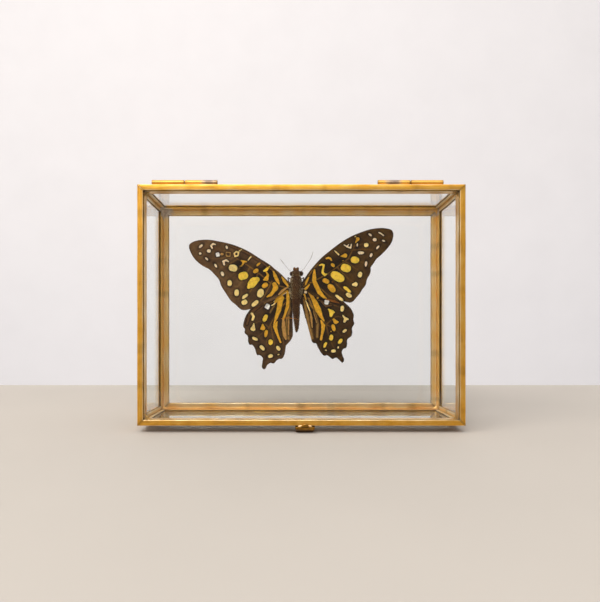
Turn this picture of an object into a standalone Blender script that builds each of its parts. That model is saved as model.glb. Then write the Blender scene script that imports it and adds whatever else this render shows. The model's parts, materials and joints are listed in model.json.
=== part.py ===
"""A butterfly in a brass-framed glass box that stands on its long side.

The box is a case of five glass panes, a glass lid on two barrel hinges along
the top front edge, and a bent brass catch under the lid. The catch is also the
front foot, so the whole box leans back a little on its rear bottom edge. The
butterfly is held off the back pane by a slim clear rod behind its thorax.

Metres, +Z up. The box faces -Y. Everything is modelled upright in the box's
own frame, with the origin under the middle of the box, and an empty then
leans it back and puts the middle of its bounding box over the origin.
"""

import math

import bmesh
import bpy
from mathutils import Vector

MM = 0.001

# Box, outside
WIDTH = 136 * MM
HEIGHT = 100 * MM
DEPTH = 40 * MM
LEAN = math.radians(4.4)

# Brass channel and glass
WALL = 2.5 * MM
SHEET = 0.35 * MM
LIP = 2.5 * MM
DEEP_LIP = 4 * MM
CORNER_LIP = 1.6 * MM
GLASS = 1.4 * MM
PANE_EDGE_GAP = 0.25 * MM
GAP = 0.3 * MM
SEAM = 0.1 * MM

# Planes across the depth
LID_FRONT = -DEPTH / 2
LID_BACK = LID_FRONT + WALL
RIM_FRONT = LID_BACK + GAP
RIM_END = RIM_FRONT + DEEP_LIP
BACK = DEPTH / 2
BACK_INNER = BACK - WALL
BACK_START = BACK_INNER - DEEP_LIP

# Hinges
KNUCKLE_RADIUS = 1.05 * MM
BORE_RADIUS = 0.5 * MM
PIN_RADIUS = 0.42 * MM
KNUCKLE_LENGTH = 13.5 * MM
KNUCKLE_CLEARANCE = 0.25 * MM
HINGE_CENTRES = {"left": -48.7 * MM, "right": 45.6 * MM}
ROUND_SIDES = 20
AXIS_Y = (LID_BACK + RIM_FRONT) / 2
AXIS_Z = HEIGHT + KNUCKLE_CLEARANCE + KNUCKLE_RADIUS

# Catch under the lid
CATCH_X = 1.5 * MM
CATCH_WIDTH = 8.3 * MM
CATCH_TAPER = 1.1 * MM
CATCH_SHEET = 0.7 * MM
CATCH_TOP = -GAP
CATCH_FRONT = LID_FRONT - GAP - CATCH_SHEET
CATCH_BEND = -1.0 * MM
FOOT_FRONT = -17.4 * MM
FOOT_BACK = -16.2 * MM
EAR_RADIUS = 1.75 * MM
EAR_TOP = 1.0 * MM
EAR_STEPS = 10

# Solder
FILLET = 2.2 * MM
LARGE_FILLET = 4.6 * MM
FILLET_STEPS = 4
FILLET_ROUNDNESS = 1.15

# Butterfly: the middle of its thorax, in the box's frame
THORAX = Vector((-2.06 * MM, 0, 57.4 * MM))
WING_SHEET = 0.3 * MM
WING_RINGS = (0.34, 0.68, 1.0)
BODY_SIDES = 14
ROD_RADIUS = 1.4 * MM
ROD_SIDES = 16

# Wing outlines in millimetres from the thorax, +x right and +z up, from the
# front of the root round the tip to the back of the root
LEFT_FOREWING = (
    (-3.2, 3.9), (-4.5, 5.3), (-7.1, 7.9), (-9.4, 9.7), (-11.6, 11.6), (-16.3, 14.5),
    (-20.7, 17.3), (-25.1, 19.4), (-29.5, 20.9), (-34.2, 21.9), (-39.0, 22.6),
    (-43.3, 22.3), (-46.4, 21.2), (-47.5, 19.6), (-46.7, 16.7), (-44.7, 13.6),
    (-41.6, 11.0), (-38.7, 9.5), (-36.4, 7.3), (-34.3, 4.8), (-33.4, 2.2),
    (-31.8, -0.4), (-29.2, -4.3), (-26.9, -6.3), (-25.1, -8.0), (-23.9, -8.6),
    (-22.3, -8.6), (-20.2, -8.1), (-17.7, -7.0), (-15.9, -5.9), (-13.1, -4.9),
    (-10.8, -4.5), (-7.6, -2.2), (-5.0, 0.0), (-3.5, 1.0),
)
RIGHT_FOREWING = (
    (3.2, 4.4), (6.3, 9.1), (10.8, 14.2), (15.3, 18.0), (19.7, 21.3), (24.2, 24.0),
    (28.7, 25.9), (33.2, 27.3), (37.7, 27.8), (40.5, 27.5), (42.3, 26.9), (43.1, 25.5),
    (43.1, 23.6), (42.3, 21.1), (40.5, 18.6), (38.1, 16.1), (35.8, 14.0), (34.5, 12.1),
    (33.3, 10.3), (33.3, 8.9), (32.8, 7.1), (31.7, 5.2), (31.0, 2.5), (29.6, 0.6),
    (28.5, -1.2), (26.9, -3.1), (25.5, -4.7), (24.1, -5.3), (21.8, -4.9), (18.4, -4.4),
    (15.7, -3.9), (13.0, -3.4), (9.9, -2.9), (7.4, -2.1), (5.0, -0.2), (3.5, 1.0),
)
LEFT_HINDWING = (
    (-3.0, 0.9), (-5.6, 0.4), (-9.4, -1.2), (-15.3, -4.2), (-19.0, -6.6), (-21.6, -9.7),
    (-22.8, -11.9), (-23.7, -15.5), (-22.9, -17.2), (-23.0, -18.8), (-21.6, -20.4),
    (-21.5, -22.5), (-20.8, -24.1), (-19.6, -24.2), (-18.4, -25.9), (-17.9, -27.8),
    (-17.3, -28.8), (-16.2, -28.8), (-14.9, -30.1), (-15.1, -32.2), (-15.3, -34.0),
    (-14.5, -35.1), (-13.6, -34.7), (-12.9, -33.3), (-11.5, -32.3), (-9.9, -32.5),
    (-8.7, -31.2), (-7.6, -30.5), (-6.2, -30.3), (-5.3, -28.9), (-4.8, -26.9),
    (-4.8, -25.0), (-3.5, -23.4), (-2.3, -22.0), (-1.4, -19.7), (-1.6, -15.1),
    (-2.1, -11.9), (-2.4, -9.2), (-2.6, -6.9),
)
RIGHT_HINDWING = (
    (3.2, 0.9), (5.8, 0.3), (9.4, -0.9), (15.6, -2.2), (19.6, -3.6), (23.9, -7.1),
    (25.3, -9.2), (25.9, -11.0), (25.7, -12.9), (26.1, -14.7), (25.1, -16.6),
    (25.2, -18.7), (24.7, -20.3), (23.0, -21.8), (22.9, -24.0), (22.4, -25.5),
    (21.2, -26.0), (20.5, -27.4), (21.0, -29.2), (21.5, -30.4), (21.4, -31.5),
    (20.7, -32.2), (20.0, -31.6), (18.4, -30.1), (17.5, -30.0), (16.3, -30.5),
    (14.9, -29.5), (13.8, -28.8), (12.7, -29.1), (11.5, -28.1), (10.6, -26.7),
    (9.6, -24.9), (9.0, -23.5), (8.0, -23.4), (7.1, -22.6), (6.7, -20.7),
    (6.1, -18.4), (5.5, -16.1), (4.9, -13.4), (4.1, -12.0), (4.0, -9.2),
    (3.5, -6.7),
)
# Wing: outline, root, depth at the root, and how far it rises towards the
# viewer at a wing length from the root, all in millimetres
WINGS = {
    "left_forewing": (LEFT_FOREWING, (-3.2, 2.4), -0.6, 1.5),
    "right_forewing": (RIGHT_FOREWING, (3.2, 2.6), -0.6, 1.5),
    "left_hindwing": (LEFT_HINDWING, (-2.9, -3.6), 0.3, 0.7),
    "right_hindwing": (RIGHT_HINDWING, (3.1, -3.6), 0.3, 0.7),
}
WING_LENGTH = 45.0

# Body sections in millimetres from the thorax: height, middle in x, middle in
# y, half width, half thickness
BODY_SECTIONS = (
    (10.3, 0.0, 0.2, 0.9, 0.6), (10.0, 0.0, 0.3, 1.3, 0.9), (9.1, 0.0, 0.4, 1.5, 1.2),
    (8.5, 0.0, 0.5, 2.4, 1.7), (7.8, 0.0, 0.5, 2.9, 1.8), (7.0, 0.0, 0.5, 2.3, 1.8),
    (6.2, 0.0, 0.6, 2.3, 2.1), (4.6, 0.0, 0.7, 2.6, 2.6), (2.2, 0.0, 0.8, 2.7, 2.8),
    (-0.6, 0.0, 0.8, 2.7, 2.8), (-3.0, 0.0, 0.8, 2.4, 2.4), (-4.6, 0.0, 0.7, 1.9, 1.9),
    (-6.6, 0.0, 0.6, 1.8, 1.9), (-9.4, 0.1, 0.6, 1.7, 1.9), (-12.4, 0.2, 0.5, 1.4, 1.6),
    (-15.2, 0.3, 0.4, 1.1, 1.3), (-17.4, 0.3, 0.4, 0.7, 0.8), (-18.6, 0.2, 0.3, 0.3, 0.4),
)
THORAX_UNDERSIDE = 3.6

# Antennae and legs in millimetres from the thorax: points, and radius at each
LEFT_ANTENNA = ((-2.5, 0.1, 9.0), (-3.2, -0.2, 9.5), (-4.0, -0.5, 10.3), (-5.0, -0.8, 11.5),
                (-6.1, -1.0, 12.9), (-7.1, -1.2, 14.2))
RIGHT_ANTENNA = ((2.5, 0.1, 9.0), (3.6, -0.3, 9.9), (4.7, -0.6, 11.6), (5.9, -0.9, 13.3),
                 (6.9, -1.1, 15.1), (7.6, -1.2, 17.5))
ANTENNA_RADII = (0.16, 0.15, 0.15, 0.16, 0.26, 0.14)
LEGS = {
    "front": ((1.5, 3.6, 4.9), (3.7, 4.6, 6.6), (3.0, 5.8, 3.6), (3.3, 6.2, 1.4)),
    "middle": ((2.2, 3.5, 1.6), (4.6, 4.7, 2.4), (3.7, 5.8, -1.4), (3.9, 6.2, -4.2)),
    "hind": ((1.9, 3.3, -2.2), (4.6, 4.4, -3.8), (5.2, 5.2, -7.8), (6.0, 5.4, -11.6)),
}
LEG_RADII = (0.30, 0.26, 0.2, 0.13)

BRASS = ("brass", "#c79a45", 0.3, 1.0, 0.0)
AGED_BRASS = ("aged_brass", "#6e4a1c", 0.45, 1.0, 0.0)
PANE_GLASS = ("pane_glass", "#f4f8f6", 0.02, 0.0, 1.0)
SOLDER = ("solder", "#8d8172", 0.5, 1.0, 0.0)
WING = ("wing_scales", "#3b2a14", 0.7, 0.0, 0.0)
CHITIN = ("body_fur", "#4a361f", 0.8, 0.0, 0.0)
CLEAR_ROD = ("clear_rod", "#f4f6f5", 0.05, 0.0, 1.0)


def linear(code):
    """An sRGB hex colour as linear red, green, blue and alpha."""
    shares = [int(code[i:i + 2], 16) / 255 for i in (1, 3, 5)]
    return [c / 12.92 if c <= 0.04045 else ((c + 0.055) / 1.055) ** 2.4 for c in shares] + [1.0]


def new_material(node, finish):
    """A material of its own for each piece, named for its finish and the piece."""
    name, colour, roughness, metallic, transmission = finish
    material = bpy.data.materials.new(f"{name}.{node}")
    material.use_nodes = True
    shader = material.node_tree.nodes["Principled BSDF"]
    shader.inputs["Base Color"].default_value = linear(colour)
    shader.inputs["Roughness"].default_value = roughness
    shader.inputs["Metallic"].default_value = metallic
    shader.inputs["Transmission Weight"].default_value = transmission
    material.diffuse_color = linear(colour)
    return material


def add_empty(name, location, parent=None):
    empty = bpy.data.objects.new(name, None)
    bpy.context.scene.collection.objects.link(empty)
    empty.location = location
    empty.parent = parent
    return empty


def add_mesh(name, points, faces, finish, parent, smooth=False):
    """A mesh object from box-frame points, with its normals turned outwards.

    Its parent's place in the box's frame is taken off the points.
    """
    mesh = bpy.data.meshes.new(name)
    offset = place_in_box(parent)
    mesh.from_pydata([Vector(p) - offset for p in points], [], faces)
    work = bmesh.new()
    work.from_mesh(mesh)
    bmesh.ops.recalc_face_normals(work, faces=work.faces)
    work.to_mesh(mesh)
    work.free()
    if smooth:
        mesh.shade_smooth()
        mesh.set_sharp_from_angle(angle=math.radians(40))
    mesh.materials.append(new_material(name, finish))
    obj = bpy.data.objects.new(name, mesh)
    bpy.context.scene.collection.objects.link(obj)
    obj.parent = parent
    return obj


def place_in_box(empty):
    """Where an empty stands in the box's frame: the lean empty itself is its origin."""
    return empty.location.copy() if empty.parent else Vector((0, 0, 0))


def prism(rings):
    """Points and faces of a solid whose cross-sections are rings of equal length."""
    count = len(rings[0])
    points = [p for ring in rings for p in ring]
    faces = [tuple(range(count)), tuple(range(len(points) - count, len(points)))]
    for r in range(len(rings) - 1):
        for i in range(count):
            j = (i + 1) % count
            faces.append((r * count + i, r * count + j, (r + 1) * count + j, (r + 1) * count + i))
    return points, faces


def box_between(name, low, high, finish, parent):
    """A plain rectangular pane between two corners."""
    (x0, y0, z0), (x1, y1, z1) = low, high
    rings = [[(x, y0, z0), (x, y1, z0), (x, y1, z1), (x, y0, z1)] for x in (x0, x1)]
    add_mesh(name, *prism(rings), finish, parent)


def mitred_frame(prefix, section, parent):
    """Four bars round the front of the box, mitred into each other at the corners.

    The section is a list of (inset from the outer face, y). A bar's two ends
    are cut back by the inset, which makes the mitre, less half the seam.
    """
    for side in ("bottom", "top", "left", "right"):
        length = WIDTH if side in ("bottom", "top") else HEIGHT
        rings = []
        for end in (0, 1):
            ring = []
            for inset, y in section:
                along = inset + SEAM / 2 if end == 0 else length - inset - SEAM / 2
                if side == "bottom":
                    ring.append((along - WIDTH / 2, y, inset))
                elif side == "top":
                    ring.append((along - WIDTH / 2, y, HEIGHT - inset))
                elif side == "left":
                    ring.append((inset - WIDTH / 2, y, along))
                else:
                    ring.append((WIDTH / 2 - inset, y, along))
            rings.append(ring)
        add_mesh(f"{prefix}_bar_{side}", *prism(rings), BRASS, parent)


def lid_section():
    """A channel open towards the middle of the lid."""
    inner_front, inner_back = LID_FRONT + SHEET, LID_BACK - SHEET
    return [
        (0, LID_FRONT), (LIP, LID_FRONT), (LIP, inner_front), (SHEET, inner_front),
        (SHEET, inner_back), (LIP, inner_back), (LIP, LID_BACK), (0, LID_BACK),
    ]


def rim_section():
    """A channel open to the rear, over the front edges of the four side panes."""
    web, inner = RIM_FRONT + SHEET, WALL - SHEET
    return [
        (0, RIM_FRONT), (WALL, RIM_FRONT), (WALL, RIM_END), (inner, RIM_END),
        (inner, web), (SHEET, web), (SHEET, RIM_END), (0, RIM_END),
    ]


def back_section():
    """An angle with two slots, one for a side pane and one for the back pane."""
    inner, reach = WALL - SHEET, WALL + LIP
    return [
        (0, BACK), (0, BACK_START), (SHEET, BACK_START), (SHEET, BACK_INNER),
        (inner, BACK_INNER), (inner, BACK_START), (WALL, BACK_START), (WALL, BACK_INNER),
        (reach, BACK_INNER), (reach, BACK_INNER + SHEET), (WALL, BACK_INNER + SHEET),
        (WALL, BACK - SHEET), (reach, BACK - SHEET), (reach, BACK),
    ]


def depth_bars(parent):
    """The four bars from front to back, each an angle with a slot for two side panes."""
    inner, reach = WALL - SHEET, WALL + CORNER_LIP
    section = [
        (0, 0), (reach, 0), (reach, SHEET), (WALL, SHEET), (WALL, inner), (reach, inner),
        (reach, WALL), (WALL, WALL), (WALL, reach), (inner, reach), (inner, WALL),
        (SHEET, WALL), (SHEET, reach), (0, reach),
    ]
    for row, upright in (("bottom", 1), ("top", -1)):
        for side, across in (("left", 1), ("right", -1)):
            rings = []
            for y in (RIM_END + SEAM, BACK_START - SEAM):
                rings.append([
                    (across * (u - WIDTH / 2), y, w if upright == 1 else HEIGHT - w)
                    for u, w in section
                ])
            add_mesh(f"depth_bar_{row}_{side}", *prism(rings), BRASS, parent)


def panes(case, lid):
    """Six flat panes, each a little clear of the channels that hold it."""
    edge = WALL + PANE_EDGE_GAP
    x, z = WIDTH / 2 - edge, HEIGHT - edge
    y0, y1 = RIM_FRONT + SHEET + PANE_EDGE_GAP, BACK_INNER - PANE_EDGE_GAP
    near, far = WALL / 2 - GLASS / 2, WALL / 2 + GLASS / 2
    box_between("back_pane", (-x, BACK - far, edge), (x, BACK - near, z), PANE_GLASS, case)
    box_between("bottom_pane", (-x, y0, near), (x, y1, far), PANE_GLASS, case)
    box_between("top_pane", (-x, y0, HEIGHT - far), (x, y1, HEIGHT - near), PANE_GLASS, case)
    half = WIDTH / 2
    box_between("left_pane", (-half + near, y0, edge), (-half + far, y1, z), PANE_GLASS, case)
    box_between("right_pane", (half - far, y0, edge), (half - near, y1, z), PANE_GLASS, case)
    inset = SHEET + PANE_EDGE_GAP
    box_between(
        "lid_pane",
        (-half + inset, LID_FRONT + near, inset),
        (half - inset, LID_FRONT + far, HEIGHT - inset),
        PANE_GLASS, lid,
    )


def circle_at(x, radius):
    """A ring of points round the hinge axis, in the plane at x."""
    turns = [2 * math.pi * i / ROUND_SIDES for i in range(ROUND_SIDES)]
    return [(x, AXIS_Y + radius * math.cos(t), AXIS_Z + radius * math.sin(t)) for t in turns]


def knuckle(name, x0, x1, parent):
    """A short tube on the hinge axis: two circles at each end, joined all round."""
    rings = [circle_at(x0, KNUCKLE_RADIUS), circle_at(x1, KNUCKLE_RADIUS),
             circle_at(x1, BORE_RADIUS), circle_at(x0, BORE_RADIUS)]
    points = [p for ring in rings for p in ring]
    faces = []
    for r in range(4):
        a, b = r * ROUND_SIDES, (r + 1) % 4 * ROUND_SIDES
        for i in range(ROUND_SIDES):
            j = (i + 1) % ROUND_SIDES
            faces.append((a + i, a + j, b + j, b + i))
    add_mesh(name, points, faces, BRASS, parent, smooth=True)


def hinges(case, lid):
    """Two hinges: the knuckle nearer the corner is the case's, the other the lid's."""
    for side, centre in HINGE_CENTRES.items():
        outward = -1 if side == "left" else 1
        for owner, way, parent in (("case", outward, case), ("lid", -outward, lid)):
            ends = sorted((centre + way * GAP / 2, centre + way * (GAP / 2 + KNUCKLE_LENGTH)))
            knuckle(f"hinge_{side}_{owner}_knuckle", *ends, parent)
        reach = GAP / 2 + KNUCKLE_LENGTH
        rings = [circle_at(centre - reach, PIN_RADIUS), circle_at(centre + reach, PIN_RADIUS)]
        add_mesh(f"hinge_{side}_pin", *prism(rings), AGED_BRASS, case, smooth=True)


def floor_line(y):
    """Height, in the upright box's frame, of the surface that the leaning box stands on."""
    return -(BACK - y) * math.tan(LEAN)


def catch_section():
    """Side view of the catch as (y, z): down from the lid, back to the foot, up to the tip."""
    front, rear = CATCH_FRONT, LID_FRONT - GAP
    return [
        (front, CATCH_TOP), (front, CATCH_BEND), (-20.7 * MM, -1.45 * MM),
        (-18.2 * MM, -2.55 * MM), (FOOT_FRONT, floor_line(FOOT_FRONT)),
        (FOOT_BACK, floor_line(FOOT_BACK)), (-15.4 * MM, -2.45 * MM),
        (-13.6 * MM, -1.4 * MM), (-12.6 * MM, -1.2 * MM), (-12.6 * MM, -0.55 * MM),
        (-13.8 * MM, -0.7 * MM), (-15.7 * MM, -1.8 * MM), (-16.5 * MM, -2.05 * MM),
        (-17.3 * MM, -2.05 * MM), (-18.0 * MM, -1.85 * MM), (-20.3 * MM, -0.85 * MM),
        (rear, CATCH_TOP),
    ]


def catch(lid):
    """The bent strip, narrower at the foot, with a half-round ear on the lid's front face."""
    rings = []
    for way in (-1, 1):
        ring = []
        for y, z in catch_section():
            half = (CATCH_WIDTH - CATCH_TAPER * min(1.0, z / floor_line(FOOT_FRONT))) / 2
            ring.append((CATCH_X + way * half, y, z))
        rings.append(ring)
    strip = add_mesh("catch", *prism(rings), AGED_BRASS, lid)

    ear_middle = EAR_TOP - EAR_RADIUS
    arc = [math.pi * i / EAR_STEPS for i in range(EAR_STEPS + 1)]
    rings = []
    for y in (CATCH_FRONT, CATCH_FRONT + CATCH_SHEET):
        rings.append([
            (CATCH_X + EAR_RADIUS * math.cos(t), y, ear_middle + EAR_RADIUS * math.sin(t))
            for t in arc
        ])
    ear = add_mesh("catch_ear_shape", *prism(rings), AGED_BRASS, lid)
    ear.hide_render = True
    ear.display_type = "WIRE"
    union = strip.modifiers.new("ear", "BOOLEAN")
    union.operation = "UNION"
    union.object = ear


def solder_fillet(name, corner, ways, size, parent):
    """A drop of solder in an inner corner: an eighth of a superellipsoid.

    A point's three shares a, b, c of the size are scaled until
    a^n + b^n + c^n = 1. The three flat sides face the corner's three walls.
    """
    start = Vector([c + GAP * way for c, way in zip(corner, ways)])
    index, points = {}, []
    for i in range(FILLET_STEPS + 1):
        for j in range(FILLET_STEPS + 1 - i):
            shares = Vector((i, j, FILLET_STEPS - i - j))
            length = sum(s ** FILLET_ROUNDNESS for s in shares) ** (1 / FILLET_ROUNDNESS)
            index[i, j] = len(points)
            points.append(start + Vector([s / length * size * w for s, w in zip(shares, ways)]))
    centre = len(points)
    points.append(start)
    faces = []
    for i in range(FILLET_STEPS):
        for j in range(FILLET_STEPS - i):
            faces.append((index[i, j], index[i + 1, j], index[i, j + 1]))
            if i + j < FILLET_STEPS - 1:
                faces.append((index[i + 1, j], index[i + 1, j + 1], index[i, j + 1]))
    edge = range(FILLET_STEPS + 1)
    faces.append((centre, *[index[i, 0] for i in edge]))
    faces.append((centre, *[index[0, j] for j in edge]))
    faces.append((centre, *[index[i, FILLET_STEPS - i] for i in edge]))
    add_mesh(name, points, faces, SOLDER, parent, smooth=True)


def solder(case):
    """One drop in each of the eight inner corners, the one at the back top left the largest."""
    for row, z, up in (("bottom", WALL, 1), ("top", HEIGHT - WALL, -1)):
        for side, x, in_ward in (("left", WALL - WIDTH / 2, 1), ("right", WIDTH / 2 - WALL, -1)):
            for end, y, along in (("front", RIM_FRONT, 1), ("back", BACK_INNER, -1)):
                large = (end, row, side) == ("back", "top", "left")
                size = LARGE_FILLET if large else FILLET
                name = f"solder_{end}_{row}_{side}"
                solder_fillet(name, (x, y, z), (in_ward, along, up), size, case)


def wing_depth(x, z, root, depth, rise):
    """How far a point of a wing lies behind the box's middle plane, in millimetres.

    The depth at the root, less the rise times the squared share of a wing
    length that lies between the point and the root.
    """
    share = math.hypot(x - root[0], z - root[1]) / WING_LENGTH
    return depth - rise * share ** 2


def wing(name, outline, root, depth, rise, case):
    """A thin dished plate: rays from the root to the outline, cut by rings."""
    grid = [[root] + [
        (root[0] + s * (x - root[0]), root[1] + s * (z - root[1])) for s in WING_RINGS
    ] for x, z in outline]
    half = WING_SHEET / MM / 2
    points = []
    for side in (-1, 1):
        points.append((root[0], wing_depth(*root, root, depth, rise) + side * half, root[1]))
        for ray in grid:
            for x, z in ray[1:]:
                points.append((x, wing_depth(x, z, root, depth, rise) + side * half, z))
    rings, rays = len(WING_RINGS), len(outline)
    layer = 1 + rays * rings

    def at(side, ray, ring):
        return side * layer + (0 if ring == 0 else 1 + ray * rings + ring - 1)

    faces = []
    for side in (0, 1):
        for ray in range(rays - 1):
            faces.append((at(side, ray, 0), at(side, ray, 1), at(side, ray + 1, 1)))
            for ring in range(1, rings):
                faces.append((at(side, ray, ring), at(side, ray, ring + 1),
                              at(side, ray + 1, ring + 1), at(side, ray + 1, ring)))
    edge = [(0, r) for r in range(rings + 1)] + [(ray, rings) for ray in range(1, rays)]
    edge += [(rays - 1, r) for r in range(rings - 1, 0, -1)]
    for i, here in enumerate(edge):
        after = edge[(i + 1) % len(edge)]
        faces.append((at(0, *here), at(0, *after), at(1, *after), at(1, *here)))
    add_mesh(name, [THORAX + Vector(p) * MM for p in points], faces, WING, case)


def butterfly_body(case):
    """Head, thorax and abdomen as one skin over oval sections."""
    turns = [2 * math.pi * i / BODY_SIDES for i in range(BODY_SIDES)]
    rings = []
    for height, x, y, half_width, half_thick in BODY_SECTIONS:
        rings.append([
            THORAX + MM * Vector((x + half_width * math.cos(t), y + half_thick * math.sin(t), height))
            for t in turns
        ])
    add_mesh("butterfly_body", *prism(rings), CHITIN, case, smooth=True)


def tube(name, points, radii, parent):
    """A thin round limb: a poly curve with a bevel, its thickness given at each point."""
    curve = bpy.data.curves.new(name, "CURVE")
    curve.dimensions = "3D"
    curve.bevel_depth = MM
    curve.bevel_resolution = 1
    curve.use_fill_caps = True
    spline = curve.splines.new("POLY")
    spline.points.add(len(points) - 1)
    for knot, point, radius in zip(spline.points, points, radii):
        knot.co = (*(THORAX + MM * Vector(point)), 1)
        knot.radius = radius
    curve.materials.append(new_material(name, CHITIN))
    obj = bpy.data.objects.new(name, curve)
    bpy.context.scene.collection.objects.link(obj)
    obj.parent = parent


def support_rod(case):
    """A clear rod glued between the back pane and the underside of the thorax."""
    turns = [2 * math.pi * i / ROD_SIDES for i in range(ROD_SIDES)]
    y0 = THORAX_UNDERSIDE * MM + GAP
    y1 = BACK - WALL / 2 - GLASS / 2 - GAP
    rings = [
        [(THORAX.x + ROD_RADIUS * math.cos(t), y, THORAX.z + ROD_RADIUS * math.sin(t)) for t in turns]
        for y in (y0, y1)
    ]
    add_mesh("support_rod", *prism(rings), CLEAR_ROD, case, smooth=True)


def butterfly(case):
    butterfly_body(case)
    for name, (outline, root, depth, rise) in WINGS.items():
        wing(name, outline, root, depth, rise, case)
    tube("left_antenna", LEFT_ANTENNA, ANTENNA_RADII, case)
    tube("right_antenna", RIGHT_ANTENNA, ANTENNA_RADII, case)
    for place, points in LEGS.items():
        for side, across in (("left", -1), ("right", 1)):
            mirrored = [(across * x, y, z) for x, y, z in points]
            tube(f"{side}_{place}_leg", mirrored, LEG_RADII, case)


def depth_after_lean(y, z):
    """Where a point of the upright box lies along Y once the box leans back."""
    return y * math.cos(LEAN) + z * math.sin(LEAN)


def stand_up(case):
    """Lean the box back on its rear edge and catch, with its bounding box over the origin.

    The foremost point is the front of the catch's bend, and the rearmost is
    the back frame's top edge.
    """
    foremost = depth_after_lean(CATCH_FRONT, CATCH_BEND)
    rearmost = depth_after_lean(BACK, HEIGHT)
    case.rotation_euler.x = -LEAN
    case.location = (0, -(foremost + rearmost) / 2, BACK * math.sin(LEAN))
    bpy.context.view_layer.update()


def main():
    for obj in list(bpy.data.objects):
        bpy.data.objects.remove(obj, do_unlink=True)
    case = add_empty("case_frame", (0, 0, 0))
    lid = add_empty("lid_axis", (0, AXIS_Y, AXIS_Z), case)
    mitred_frame("lid", lid_section(), lid)
    mitred_frame("rim", rim_section(), case)
    mitred_frame("back", back_section(), case)
    depth_bars(case)
    panes(case, lid)
    hinges(case, lid)
    catch(lid)
    solder(case)
    butterfly(case)
    support_rod(case)
    stand_up(case)


main()
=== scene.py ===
"""A dried butterfly in a brass-framed glass box: the looks, built round the fixed solids of the model.

The solids are loaded first. Each brass bar, hinge, catch and drop of solder,
and each part of the insect, is then modelled finely in the place of its solid,
and the six panes keep their solids with a glass finish. Shapes are computed in
millimetres in the box's own upright frame (X right, Y away from the viewer,
Z up, origin under the middle of the box) and are then leaned back with the box.
"""

import json
import math

import bpy
import numpy as np
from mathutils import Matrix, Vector


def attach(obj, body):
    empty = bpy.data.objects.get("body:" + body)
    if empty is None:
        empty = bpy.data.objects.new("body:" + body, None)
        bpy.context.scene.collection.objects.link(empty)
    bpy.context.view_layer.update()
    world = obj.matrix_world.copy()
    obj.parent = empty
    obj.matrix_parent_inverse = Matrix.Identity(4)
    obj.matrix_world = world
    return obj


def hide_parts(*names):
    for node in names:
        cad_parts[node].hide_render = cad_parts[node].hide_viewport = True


bl_info = {
    "name": "Butterfly in a Glass Box",
    "version": (1, 0, 0),
    "blender": (4, 5, 0),
    "location": "3D Viewport > Sidebar > Glass Box",
    "description": "Builds a dried butterfly in a brass-framed glass box around its solids",
    "category": "Add Mesh",
}

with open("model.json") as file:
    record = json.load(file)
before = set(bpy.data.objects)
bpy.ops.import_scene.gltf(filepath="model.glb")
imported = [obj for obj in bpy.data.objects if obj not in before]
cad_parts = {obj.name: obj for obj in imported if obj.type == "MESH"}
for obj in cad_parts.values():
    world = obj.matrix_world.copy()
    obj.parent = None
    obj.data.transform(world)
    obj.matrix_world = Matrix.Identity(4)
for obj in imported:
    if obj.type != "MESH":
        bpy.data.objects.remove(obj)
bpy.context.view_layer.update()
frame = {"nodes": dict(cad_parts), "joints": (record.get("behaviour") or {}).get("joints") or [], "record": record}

MM = 0.001

# Where the box stands: its lean is read from the underside's direction, and its
# place from the hinge, whose axis in the box's own frame is at AXIS_Y, AXIS_Z
AXIS_Y = -17.35
AXIS_Z = 101.3
UNDERSIDE = next(m for m in frame["record"]["mounts"] if m["name"] == "underside")
HINGE = next(j for j in frame["joints"] if j["name"] == "lid_hinge")
LEAN = math.asin(-UNDERSIDE["axis"][1])

# Box and brass, in millimetres, the same dimensions as the solids
WIDTH = 136.0
HEIGHT = 100.0
DEPTH = 40.0
WALL = 2.5
SHEET = 0.35
LIP = 2.5
DEEP_LIP = 4.0
CORNER_LIP = 1.6
GLASS = 1.4
GAP = 0.3
SEAM = 0.1
LID_FRONT = -DEPTH / 2
LID_BACK = LID_FRONT + WALL
RIM_FRONT = LID_BACK + GAP
RIM_END = RIM_FRONT + DEEP_LIP
BACK = DEPTH / 2
BACK_INNER = BACK - WALL
BACK_START = BACK_INNER - DEEP_LIP
KNUCKLE_RADIUS = 1.05
BORE_RADIUS = 0.5
PIN_RADIUS = 0.42
KNUCKLE_LENGTH = 13.5
HINGE_CENTRES = {"left": -48.7, "right": 45.6}

# The butterfly: the middle of its thorax in the box's frame, in millimetres
THORAX = np.array([-2.06, 0.0, 57.4])


def stacked(*parts):
    """Arrays or numbers brought to one shape and stacked along a new last axis."""
    return np.stack(np.broadcast_arrays(*parts), -1)


def leaned(points):
    """Box-frame millimetres as metres, turned about X by the lean."""
    x, y, z = np.moveaxis(np.asarray(points, float), -1, 0)
    return MM * stacked(x, y * math.cos(LEAN) + z * math.sin(LEAN), z * math.cos(LEAN) - y * math.sin(LEAN))


ORIGIN = np.array(HINGE["pos_m"]) - leaned([0.0, AXIS_Y, AXIS_Z])


def to_world(points):
    """Box-frame millimetres as world metres: the lean, then a shift that meets the hinge."""
    return leaned(points) + ORIGIN


def linear(code):
    """An sRGB hex colour as linear red, green, blue and alpha."""
    shares = [int(code[i:i + 2], 16) / 255 for i in (1, 3, 5)]
    return [c / 12.92 if c <= 0.04045 else ((c + 0.055) / 1.055) ** 2.4 for c in shares] + [1.0]


def per_mm(size):
    """The scale of a pattern on coordinates in metres whose grain is that many millimetres."""
    return 1 / (size * MM)


def set_inputs(tree, node, inputs):
    """A node's inputs: each takes a value, or a link where a socket is given."""
    for name, value in inputs.items():
        if isinstance(value, bpy.types.NodeSocket):
            tree.links.new(value, node.inputs[name])
        else:
            node.inputs[name].default_value = value


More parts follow.
